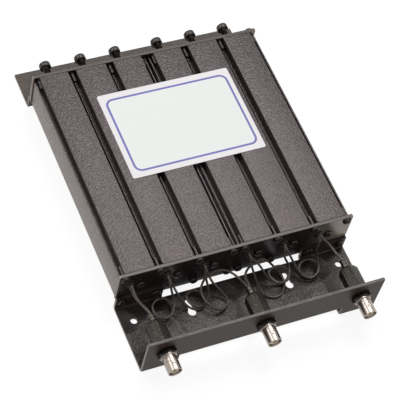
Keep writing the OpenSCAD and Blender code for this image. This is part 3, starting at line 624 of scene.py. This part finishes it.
def printed_foil(name, label, centre):
    """White label foil with one printed line. With q = |p| - half size + corner radius in both directions, the
    distance from the rounded rectangle is |max(q, 0)| + min(max(q), 0) - corner radius. It gives the line, and
    the foil inside it is a shade cooler than its margin."""
    material, tree, q = blank(name)
    fibres = mottle(tree, q, 0.5)
    inset = (label.across / 2 - label.corner, label.along / 2 - label.corner, 0)
    for operation, vector in (
            ("SUBTRACT", centre * MM), ("MULTIPLY", (1, 1, 0)), ("ABSOLUTE", (0, 0, 0)), ("SUBTRACT", inset)):
        q = add(tree, "VectorMath", {0: q, 1: vector}, operation=operation)
    beyond = add(tree, "VectorMath", {0: q, 1: (0, 0, 0)}, operation="MAXIMUM")
    length = add(tree, "VectorMath", {0: beyond}, operation="LENGTH")
    axes = add(tree, "SeparateXYZ", {0: q}).outputs
    nearer = add(tree, "Math", {0: axes[0], 1: axes[1]}, operation="MAXIMUM")
    within = add(tree, "Math", {0: nearer, 1: 0.0}, operation="MINIMUM")
    distance = add(tree, "Math", {0: length, 1: within}, operation="ADD")
    distance = add(tree, "Math", {0: distance, 1: label.corner}, operation="SUBTRACT")
    from_line = add(tree, "Math", {0: distance}, operation="ABSOLUTE")
    ink, inside = (
        add(tree, "MapRange", {"Value": value, "From Min": limit - blur, "From Max": limit + blur,
                               "To Min": 1.0, "To Max": 0.0}, interpolation_type=kind)
        for value, limit, blur, kind in (
            (from_line, label.line / 2, 0.4 * BLUR * MM, "SMOOTHSTEP"), (distance, 0.0, BLUR * MM, "LINEAR")))
    red, green, blue = label.field
    cool = opaque((red * 0.985, green * 1.045, blue))
    ground = add(tree, "Mix", {0: inside, 6: opaque(label.field), 7: cool}, data_type="RGBA")
    shade = add(tree, "Mix", {0: ink, 6: ground, 7: opaque(label.border)}, data_type="RGBA")
    bump = add(tree, "Bump", {"Strength": 0.15, "Distance": 0.02 * MM, "Height": fibres})
    return coat(material, tree, {"Base Color": shade, "Roughness": 0.38, "IOR": 1.47, "Normal": bump})


# The leads' routes, as in the CAD source, with Y from the front end plate's face: how a lead sets out and
# arrives, and the points that it passes
FORWARDS, REARWARDS = (0, -1, 0), (0, 1, 0)
ROUTES = {
    "jack_1_to_1": (FORWARDS, FORWARDS, [(-76, -8, 25), (-73, -16, 22)]),
    "1_to_2": (FORWARDS, REARWARDS, [
        (-76, -8, 23), (-72, -15, 20), (-66, -20, 12), (-59, -21, 6), (-51, -17, 5), (-49, -10, 4),
        (-54, -7, 8), (-62, -10, 8), (-62, -17, 7), (-55, -22, 9), (-50, -17, 11), (-50, -9, 20)]),
    "2_to_3": (FORWARDS, REARWARDS, [
        (-46, -8, 16), (-42, -13, 9), (-35, -19, 4), (-27, -18, 3), (-25, -11, 4), (-30, -7, 6),
        (-38, -11, 8), (-34, -18, 6), (-26, -17, 6), (-23, -11, 12), (-24, -5, 21)]),
    "3_to_jack_2": (FORWARDS, FORWARDS, [
        (-20, -8, 16), (-13, -14, 7), (-11, -20, 4), (-18, -25, 5), (-26, -21, 9), (-28, -11, 11),
        (-22, -4, 15), (-11, -4, 19), (-3, -10, 17), (-1, -16, 18)]),
    "jack_2_to_4": (REARWARDS, REARWARDS, [
        (2, -14, 18), (8, -6, 15), (17, -4, 19), (27, -5, 10), (33, -13, 3),
        (30, -22, 3), (24, -26, 3), (15, -22, 4), (11, -13, 12), (9, -6, 21)]),
    "4_to_5": (FORWARDS, REARWARDS, [
        (15, -7, 18), (20, -13, 10), (28, -17, 5), (35, -17, 5), (38, -11, 6), (30, -8, 11),
        (22, -11, 11), (25, -20, 11), (35, -16, 9), (38, -10, 10), (34, -6, 20)]),
    "5_to_6": (FORWARDS, REARWARDS, [
        (39, -8, 17), (44, -14, 8), (50, -20, 5), (58, -17, 6), (59, -9, 6), (51, -7, 6),
        (46, -12, 5), (51, -19, 3), (59, -15, 3), (61, -10, 6), (60, -6, 14)]),
    "6_to_jack_3": (FORWARDS, FORWARDS, [(66, -9, 23), (68, -16, 22)]),
}


def at_exit(n, side):
    """Where a lead leaves the feed-through of cavity n: the two leads there are turned round each other, and the
    outermost two pairs are turned the other way."""
    turn = math.radians(PAIR_TURN if n in (0, 5) else -PAIR_TURN)
    half = side * LEAD_PAIR / 2
    return (CAVITY_X[n] - EXIT_SIDE + half * math.cos(turn), -GROMMET_T, EXIT_Z + half * math.sin(turn))


def at_ferrule(n, side):
    """Where a lead enters the ferrule behind jack n."""
    return (JACK_X[n] + side * LEAD_PAIR / 2, high("cable_ferrules")[1] - FRONT_Y, JACK_Z)


ENDS = {
    "jack_1_to_1": (at_exit(0, 1), at_ferrule(0, 0)), "1_to_2": (at_exit(0, -1), at_exit(1, -1)),
    "2_to_3": (at_exit(1, 1), at_exit(2, -1)), "3_to_jack_2": (at_exit(2, 1), at_ferrule(1, -1)),
    "jack_2_to_4": (at_ferrule(1, 1), at_exit(3, -1)), "4_to_5": (at_exit(3, 1), at_exit(4, -1)),
    "5_to_6": (at_exit(4, 1), at_exit(5, -1)), "6_to_jack_3": (at_exit(5, 1), at_ferrule(2, 0)),
}


# Operators

class DUPLEXER_OT_stage(bpy.types.Operator):
    """Set up the camera, the pale floor and the soft lights"""
    bl_idname = "duplexer.stage"
    bl_label = "Stage"

    def execute(self, context):
        stage = context.scene.duplexer_stage
        scene = context.scene
        scene.view_settings.view_transform = "Standard"
        a, e, r = stage.azimuth, stage.elevation, stage.roll
        right = Vector((math.cos(a), -math.sin(a), 0))
        forward = Vector((math.sin(a) * math.cos(e), math.cos(a) * math.cos(e), -math.sin(e)))
        up = right.cross(forward)
        camera = bpy.data.cameras.new("product_camera")
        camera.lens, camera.sensor_width = stage.lens, 36
        camera.clip_start, camera.clip_end = 0.05, 50
        holder = bpy.data.objects.new("product_camera", camera)
        axes = (right * math.cos(r) + up * math.sin(r), up * math.cos(r) - right * math.sin(r), -forward)
        holder.matrix_world = Matrix.Translation(stage.place) @ Matrix(axes).transposed().to_4x4()
        scene.collection.objects.link(holder)
        scene.camera = holder
        self.light("top_softbox", Vector((0.38, 0.46, 1.35)), 0.75, stage.top)
        self.light("left_softbox", Vector((-0.85, 0.75, 1.12)), 0.6, stage.left)
        self.surroundings(scene, stage)
        self.floor(scene, stage)
        return {"FINISHED"}

    def light(self, name, place, size, power):
        """A square softbox aimed at the part's middle."""
        lamp = bpy.data.lights.new(name, "AREA")
        lamp.size, lamp.energy = size, power
        holder = bpy.data.objects.new(name, lamp)
        aim = (-place).to_track_quat("-Z", "Y")
        holder.matrix_world = Matrix.Translation(place) @ aim.to_matrix().to_4x4()
        bpy.context.scene.collection.objects.link(holder)

    def seen(self, tree):
        """1 where the ray comes from the camera, a glossy surface or glass, else 0."""
        rays = add(tree, "LightPath").outputs
        seen = rays["Is Camera Ray"]
        for other in ("Is Glossy Ray", "Is Transmission Ray"):
            seen = add(tree, "Math", {0: seen, 1: rays[other]}, operation="MAXIMUM")
        return seen

    def surroundings(self, scene, stage):
        """Even white surroundings, at full white where they are seen."""
        world = bpy.data.worlds.new("white_surroundings")
        world.use_nodes = True
        tree = world.node_tree
        tree.nodes.clear()
        strength = add(tree, "MapRange", {"Value": self.seen(tree), "To Min": stage.world, "To Max": 1.0})
        back = add(tree, "Background", {"Color": (1, 1, 1, 1), "Strength": strength})
        add(tree, "OutputWorld", {"Surface": back})
        scene.world = world

    def floor(self, scene, stage):
        """A pale table top, mostly self-white where it is seen, which keeps the object's shadow."""
        material, tree, _ = blank("pale_table_top")
        top = add(tree, "BsdfPrincipled", {"Base Color": opaque(stage.floor), "Roughness": 0.9})
        glow = add(tree, "Emission", {"Color": (1, 1, 1, 1), "Strength": stage.glow})
        share = add(tree, "Math", {0: self.seen(tree), 1: 0.8}, operation="MULTIPLY")
        add(tree, "OutputMaterial", {"Surface": add(tree, "MixShader", {0: share, 1: top, 2: glow})})
        mesh = bpy.data.meshes.new("table_top")
        reach, depth = 4.0, -0.0004
        corners = ((-reach, -reach), (reach, -reach), (reach, reach), (-reach, reach))
        mesh.from_pydata([(x, y, depth) for x, y in corners], [], [(0, 1, 2, 3)])
        mesh.materials.append(material)
        table = bpy.data.objects.new("table_top", mesh)
        scene.collection.objects.link(table)


class DUPLEXER_OT_leads(bpy.types.Operator):
    """Lay the eight coaxial leads along their routes"""
    bl_idname = "duplexer.leads"
    bl_label = "Leads"

    def execute(self, context):
        lead = context.scene.duplexer_lead
        jacket = moulded("extruded_fluoropolymer_jacket", lead.jacket, 0.2)
        for name, (first, last, route) in ROUTES.items():
            start, end = ENDS[name]
            path = spline([start, *route, end], first, last, step=0.8) + (0, FRONT_Y, 0)
            build(f"coax_{name}", [tube(path, lead.diameter / MM / 2, lead.sides)], jacket,
                  replaces=[f"lead_{name}"])
        return {"FINISHED"}


class DUPLEXER_OT_blocks(bpy.types.Operator):
    """Extrude the two blocks of cavities with their grooves and fins"""
    bl_idname = "duplexer.blocks"
    bl_label = "Cavity blocks"

    def outline(self, width, height, block):
        """Half of the section's top, mirrored downwards: panels, grooves with a fin each, and side steps."""
        groove, depth, pitch, drop = in_mm(block, "groove_w", "groove_depth", "groove_pitch", "fin_drop")
        fin, shift, wall, step = in_mm(block, "fin_t", "offset", "side_wall", "side_step")
        side, floor = width / 2, height - depth
        top = [(-side, height - drop), (wall - side, height - drop), (wall - side, floor),
               (step - side - shift, floor), (step - side - shift, height)]
        for centre in (-shift - pitch / 2, -shift + pitch / 2):
            top += [(centre - groove / 2, height), (centre - groove / 2, floor), (centre - fin / 2, floor),
                    (centre - fin / 2, height - drop), (centre + fin / 2, height - drop), (centre + fin / 2, floor),
                    (centre + groove / 2, floor), (centre + groove / 2, height)]
        top += [(side - step - shift, height), (side - step - shift, floor), (side - wall, floor),
                (side - wall, height - drop), (side, height - drop)]
        top = np.array(top)
        return np.vstack([top, top[::-1] * (1, -1) + (0, height)])

    def cavity(self, n, width, height, block):
        """A cavity's cross-shaped section: wide between the grooves' floors, narrower behind the panels."""
        groove, pitch, depth, step = in_mm(block, "groove_w", "groove_pitch", "groove_depth", "side_step")
        web, panel, side, wall, shift = in_mm(block, "web", "panel", "cavity_side", "cavity_wall", "offset")
        wide = (width - 2 * side - 2 * wall) / 6
        x = n * (2 * wide + wall)
        if n == 0:
            narrow, narrow_x = (pitch - groove - 2 * web) / 2, -shift
        else:
            narrow = (width / 2 - step - pitch / 2 - groove / 2 - 2 * web) / 2
            narrow_x = n * (pitch / 2 + groove / 2 + web + narrow) - shift
        low_z = depth + web
        half = [(x - wide, low_z), (narrow_x - narrow, low_z), (narrow_x - narrow, panel),
                (narrow_x + narrow, panel), (narrow_x + narrow, low_z), (x + wide, low_z)]
        return np.array(half + [(x, height - z) for x, z in half[::-1]])

    def execute(self, context):
        block, enamel = context.scene.duplexer_block, context.scene.duplexer_enamel
        edge, cavity_edge = in_mm(block, "edge", "cavity_edge")
        # Faces in the outermost millimetre count as outer walls, and the ends stop short of the plates
        wall, setback = high("cavity_block_right")[0] - 1, 0.3
        # The blocks' front is painted paler, a painted highlight for the stronger reflection there
        paint = wrinkle_enamel("wrinkle_enamel_on_extruded_aluminium", enamel.block, enamel, coarse=(0.1, 1.0),
                               tint=(1, 0.9, 0.93), wall=wall * MM, front=2.4)
        for name in ("cavity_block_left", "cavity_block_right"):
            lowest, highest = low(name), high(name)
            width, _, height = highest - lowest
            loops = [rounded(self.outline(width, height, block), edge)]
            loops += [rounded(self.cavity(n, width, height, block), cavity_edge) for n in (-1, 0, 1)]
            place = ((lowest[0] + highest[0]) / 2, lowest[2])
            shell = prism([loop + place for loop in loops], lowest[1] + setback, highest[1] - setback)
            build(name.replace("cavity_block", "extrusion"), [shell], paint, replaces=[name], sharp=50)
        return {"FINISHED"}


class DUPLEXER_OT_sheet_metal(bpy.types.Operator):
    """Finish the end plates, the folded brackets and the label"""
    bl_idname = "duplexer.sheet_metal"
    bl_label = "Plates, brackets and label"

    def execute(self, context):
        scene = context.scene
        enamel = scene.duplexer_enamel
        plate = smooth_enamel("sprayed_black_enamel", enamel)
        for node in ("front_end_plate", "rear_end_plate"):
            dress(node, plate)
        # The rear bracket takes a lighter copy of the same enamel, painted light for the stronger light on it
        for end, colour, waves in (("front", enamel.bracket, 2.8), ("rear", enamel.rear, 0.4)):
            dress(f"{end}_bracket", wrinkle_enamel(
                f"wrinkle_enamel_on_folded_steel_{end}", colour, enamel, coarse=(0.3, 0.3), edge=0.35, waves=waves,
                ior=1.42, tint=(1, 0.93, 0.92), rim=0.015))
        # The line is printed a little off the label's middle
        centre = middle("label_plate") + (0.25, -0.2, 0)
        dress("label_plate", printed_foil("printed_white_foil", scene.duplexer_label, centre))
        return {"FINISHED"}


class DUPLEXER_OT_screws(bpy.types.Operator):
    """Fit the pan-head screws of the plates, brackets and rods"""
    bl_idname = "duplexer.screws"
    bl_label = "Screws"

    def execute(self, context):
        hardware = context.scene.duplexer_hardware
        steel = black_oxide("black_oxide_steel", hardware.black_steel)
        random = np.random.default_rng(7)
        block_x = [middle(name)[0] for name in ("cavity_block_left", "cavity_block_right")]
        columns = [x + side * off for x in block_x for side in (-1, 1) for off in COLUMN_OFFSETS]
        reach = high("front_end_plate")[0]
        low_row, high_row = BLOCK_Z + ROW_INSET, TOP_Z - ROW_INSET
        over_tab = [x for x in columns if abs(x) > reach - TAB_W]
        clear = [x for x in columns if x not in over_tab]

        def row(places, y, sign, head, shank):
            return [pan_screw((x, y, z), sign, *head, *shank, random.uniform(0, np.pi)) for x, z in places]
        plate_places = [(x, high_row) for x in columns] + [(x, low_row) for x in clear]
        tab_places = [(x, low_row) for x in over_tab]
        head = in_mm(hardware, "head_d", "head_h")
        thread_d, thread_l = 3, PLATE_T + 8
        for name, y, sign in (("front", FRONT_Y, -1), ("rear", REAR_Y, 1)):
            build(f"{name}_plate_pan_screws", row(plate_places, y, sign, head, (thread_d, thread_l)), steel,
                  replaces=[f"{name}_plate_screws"])
            build(f"{name}_tab_pan_screws",
                  row(tab_places, y + sign * SHEET_T, sign, head, (thread_d, SHEET_T + thread_l)), steel,
                  replaces=[f"{name}_bracket_screws"])
        rod_head, rod_thread = (6, 2.2), (4, PLATE_T + 10)
        build("rod_pan_screws", row([(x, ROD_Z) for x in CAVITY_X], FRONT_Y, -1, rod_head, rod_thread), steel,
              replaces=["resonator_screws"])
        return {"FINISHED"}


class DUPLEXER_OT_feed_throughs(bpy.types.Operator):
    """Fit the feed-throughs and the bright collars where the leads enter the plate"""
    bl_idname = "duplexer.feed_throughs"
    bl_label = "Feed-throughs"

    def execute(self, context):
        scene = context.scene
        moulding = moulded("moulded_black_bushing", scene.duplexer_hardware.bushing, 0.4)
        bright = turned_metal("tinned_brass_collar", scene.duplexer_jack.nickel, 0.22)
        rings, collars = [], []
        profile = [(0.1, -GROMMET_T), (2.9, -GROMMET_T), (3.14, -GROMMET_T + 0.1), (3.2, -GROMMET_T + 0.3),
                   (3.2, 0), (2.4, 0), (2.4, PLATE_T), (0.1, PLATE_T)]
        collar = [(0.82, -1.5), (0.9, -1.42), (0.9, -0.1), (0.82, -0.1)]
        for n in SIX:
            rings.append(revolve(profile, (CAVITY_X[n] - EXIT_SIDE, FRONT_Y, EXIT_Z)))
            collars += [revolve(collar, at_exit(n, side) + np.array([0, FRONT_Y, 0]), count=20, wrap=True)
                        for side in (-1, 1)]
        build("feed_through_bushings", rings, moulding, replaces=["lead_grommets"])
        build("lead_collars", collars, bright)
        return {"FINISHED"}


class DUPLEXER_OT_jacks(bpy.types.Operator):
    """Turn the bayonet jacks with their nuts, washers, sleeves and ferrules"""
    bl_idname = "duplexer.jacks"
    bl_label = "Bayonet jacks"

    def barrel(self, hardware):
        """Profile of the barrel from its tip: chamfered rim, plain barrel, threaded neck, and the bores."""
        pitch, depth = in_mm(hardware, "pitch", "thread")
        return ([(4.2, 0.0), (4.62, 0.0), (4.85, 0.25), (4.85, 6.7), (4.7, 6.8), (4.7, 7.0), (4.85, 7.1), (4.85, 9.3),
                 (4.7, 9.5), (4.7, 11.25), (5.35, 11.3), (5.5, 11.45), (5.5, 12.15), (5.35, 12.3), (4.7, 12.3)]
                + threaded(4.7, pitch, depth, 12.4, 28.2)
                + [(4.3, 28.5), (1.55, 28.5), (1.55, 14.5), (3.35, 14.5), (3.35, 9.0), (4.1, 9.0), (4.1, 0.2)])

    def execute(self, context):
        scene = context.scene
        jack, hardware = scene.duplexer_jack, scene.duplexer_hardware
        nickel = turned_metal("bright_nickel_on_brass", jack.nickel, 0.23, relief=0.0015)
        # Painted shade: the jacks' nickel nuts and lock washers take dark steel, for the shade round each jack's base
        dark = black_oxide("nickel_nut_and_washer_painted_dark", hardware.black_steel)
        # Painted shade: the ferrules' tin is made dark for the dark surroundings that they reflect
        darkened_tin = turned_metal("tin_ferrule_painted_dark", jack.ferrule, 0.27)
        enamel = wrinkle_enamel("enamel_on_hexagonal_sleeve", jack.sleeve, scene.duplexer_enamel, relief=0.8,
                                ior=1.4, tint=(1, 0.94, 0.82), wall=1.0)
        plastic = moulded("turned_fluoropolymer", jack.insulator, 0.5)
        gold = turned_metal("gold_flashed_brass", jack.contact, 0.2)
        nuts, washers, insulators, contacts, ferrules = [], [], [], [], []
        stud = [(0.05, 4.6), (1.0, 4.6), (1.0, 5.35), (0.85, 5.525), (0.55, 5.525), (0.5, 5.0), (0.05, 5.0)]
        hex_w, nut_t, neck_r, tooth_count = 12, 2.4, 4.75, 12
        corner = hex_w / 2 / math.cos(math.pi / 6)
        sleeve = [(2.35, 0.0), (corner, 0.0), (corner, 17.8), (5.5, 19.5), (5.4, 19.6), (2.35, 19.6)]
        ferrule = [(0.05, -6.0), (2.3, -6.0), (2.3, 3.2), (2.05, 3.4), (2.05, 3.9), (2.3, 4.1), (2.3, 6.7),
                   (2.15, 7.05), (0.05, 7.2)]
        insulator = [(1.1, 0.0), (2.8, 0.0), (3.1, 0.3), (3.1, 8.0), (3.3, 8.0), (3.3, 13.5), (1.1, 13.5)]
        contact = [(0.675, 0.15), (0.8, 0.0), (1.05, 0.25), (1.05, 27.5), (0.3, 27.5), (0.3, 5.0), (0.675, 5.0)]
        nut = nut_profile(hex_w, nut_t, neck_r, 0.25, 0.97 * hex_w / 2, 6)
        washer = [(neck_r, 0), (6.8, 0), (6.8, WASHER_T), (neck_r, WASHER_T)]

        def teeth(angle):
            return 6.55 + 0.25 * np.sign(np.sin(tooth_count * angle))
        for n in THREE:
            x = JACK_X[n]
            body = [revolve(self.barrel(hardware), (x, TIP_Y, JACK_Z), count=64, wrap=True)]
            body += [revolve(stud, (x, TIP_Y + 5.2, JACK_Z), "z", sign, 24) for sign in (-1, 1)]
            build(f"jack_barrel_{n + 1}", body, nickel, replaces=[f"connector_body_{n + 1}"], sharp=30)
            nuts.append(revolve(nut, (x, LIP_Y - WASHER_T, JACK_Z), sign=-1, count=72, limit=hexagon(hex_w), wrap=True))
            washers.append(revolve(washer, (x, LIP_Y, JACK_Z), sign=-1, count=96, limit=teeth, wrap=True))
            insulators.append(revolve(insulator, (x, TIP_Y + 1.0, JACK_Z), wrap=True))
            contacts.append(revolve(contact, (x, TIP_Y + 1.0, JACK_Z), count=32, wrap=True))
            shell = revolve(sleeve, (x, LIP_Y + SHEET_T, JACK_Z), count=72, limit=hexagon(hex_w), wrap=True)
            build(f"hex_sleeve_{n + 1}", [shell], enamel, replaces=[f"connector_sleeve_{n + 1}"])
            ferrules.append(revolve(ferrule, (x, high(f"connector_sleeve_{n + 1}")[1], JACK_Z)))
        build("jack_nuts", nuts, dark, replaces=["connector_nuts"])
        build("jack_lock_washers", washers, dark, replaces=["connector_washers"])
        build("jack_insulators", insulators, plastic, replaces=["connector_insulators"])
        build("jack_contacts", contacts, gold, replaces=["connector_contacts"])
        build("crimp_ferrules", ferrules, darkened_tin, replaces=["cable_ferrules"])
        return {"FINISHED"}


class DUPLEXER_OT_tuners(bpy.types.Operator):
    """Turn the tuning screws with their caps, bushings and lock nuts"""
    bl_idname = "duplexer.tuners"
    bl_label = "Tuning screws"

    def execute(self, context):
        hardware = context.scene.duplexer_hardware
        pitch, depth = in_mm(hardware, "pitch", "thread")
        brass = turned_metal("machined_brass", hardware.brass, 0.25)
        zinc = turned_metal("zinc_plated_nut", hardware.zinc, 0.3)
        black = moulded("glossy_moulded_cap", hardware.cap, 0.26)
        dark = black_oxide("black_oxide_tuning_screw", hardware.black_steel)
        inner_y = low("tuning_screw_1")[1]
        cap_y = low("tuning_cap_1")[1]
        bushing_y = low("tuning_bushings")[1]
        nut_y = low("tuning_lock_nuts")[1]
        end = high("tuning_screw_1")[1] - inner_y
        screw = [(0.05, 0.0), (2.1, 0.0), (2.5, 0.4)] + threaded(2.5, pitch, depth, 0.6, end - 0.3, 4)
        screw += [(2.2, end - 0.1), (0.05, end)]
        cap = [(2.55, 0.3), (2.75, 0.0), (3.6, 0.0), (3.95, 0.1), (4.1, 0.35), (4.1, 3.2), (4.02, 3.6), (3.8, 3.9),
               (3.45, 4.0), (3.1, 3.9), (2.9, 3.7), (2.6, 3.62), (0.05, 3.6), (0.05, 2.6), (2.55, 2.6)]
        bushing = [(2.56, 0), (5.2, 0), (5.5, 0.3), (5.5, 2.5), (4.0, 2.5), (4.0, 5.0), (3.9, 5.1), (4.0, 5.2),
                   (4.0, 6.1), (3.8, 6.3), (2.56, 6.3)]
        hex_w, nut_t = 8, 3.2
        nut = nut_profile(hex_w, nut_t, 2.6, 0.2, 3.85, 5)
        bushings, nuts = [], []
        for n in SIX:
            x = CAVITY_X[n]
            build(f"tuning_rod_{n + 1}", [revolve(screw, (x, inner_y, ROD_Z), count=32)], dark,
                  f"tuner_{n + 1}", [f"tuning_screw_{n + 1}"])
            build(f"tuning_knob_{n + 1}", [revolve(cap, (x, cap_y, ROD_Z), count=64, wrap=True)], black,
                  f"tuner_{n + 1}", [f"tuning_cap_{n + 1}"])
            bushings.append(revolve(bushing, (x, bushing_y, ROD_Z), wrap=True))
            nuts.append(revolve(nut, (x, nut_y, ROD_Z), count=72, limit=hexagon(hex_w), wrap=True))
        build("rear_bushings", bushings, brass, replaces=["tuning_bushings"])
        build("rear_lock_nuts", nuts, zinc, replaces=["tuning_lock_nuts"])
        return {"FINISHED"}


class DUPLEXER_OT_resonators(bpy.types.Operator):
    """Finish the rods and coupling loops inside the cavities"""
    bl_idname = "duplexer.resonators"
    bl_label = "Rods and loops"

    def execute(self, context):
        hardware = context.scene.duplexer_hardware
        rod = turned_metal("drawn_brass_rod", hardware.brass, 0.3)
        wire = turned_metal("drawn_copper_wire", hardware.copper, 0.3)
        for n in SIX:
            dress(f"resonator_rod_{n + 1}", rod)
            dress(f"coupling_loop_{n + 1}", wire)
        return {"FINISHED"}


class DUPLEXER_PT_panel(bpy.types.Panel):
    """Sizes, colours and steps of the duplexer"""
    bl_idname = "DUPLEXER_PT_panel"
    bl_label = "Cavity duplexer"
    bl_space_type = "VIEW_3D"
    bl_region_type = "UI"
    bl_category = "Duplexer"

    def draw(self, context):
        for name, group in GROUPS.items():
            box = self.layout.box()
            box.label(text=group.__doc__)
            for key in group.__annotations__:
                box.prop(getattr(context.scene, name), key)
        for operator in OPERATORS:
            self.layout.operator(operator.bl_idname)


OPERATORS = (
    DUPLEXER_OT_stage, DUPLEXER_OT_leads, DUPLEXER_OT_blocks, DUPLEXER_OT_sheet_metal, DUPLEXER_OT_screws,
    DUPLEXER_OT_feed_throughs, DUPLEXER_OT_jacks, DUPLEXER_OT_tuners, DUPLEXER_OT_resonators,
)


def register():
    for kind in (*GROUPS.values(), *OPERATORS, DUPLEXER_PT_panel):
        bpy.utils.register_class(kind)
    for name, group in GROUPS.items():
        setattr(bpy.types.Scene, name, bpy.props.PointerProperty(type=group))


def unregister():
    for name in GROUPS:
        delattr(bpy.types.Scene, name)
    for kind in (DUPLEXER_PT_panel, *reversed(OPERATORS), *reversed(GROUPS.values())):
        bpy.utils.unregister_class(kind)


def main():
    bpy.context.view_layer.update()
    register()
    for operator in OPERATORS:
        group, name = operator.bl_idname.split(".")
        getattr(getattr(bpy.ops, group), name)()


if __name__ == "__main__":
    main()
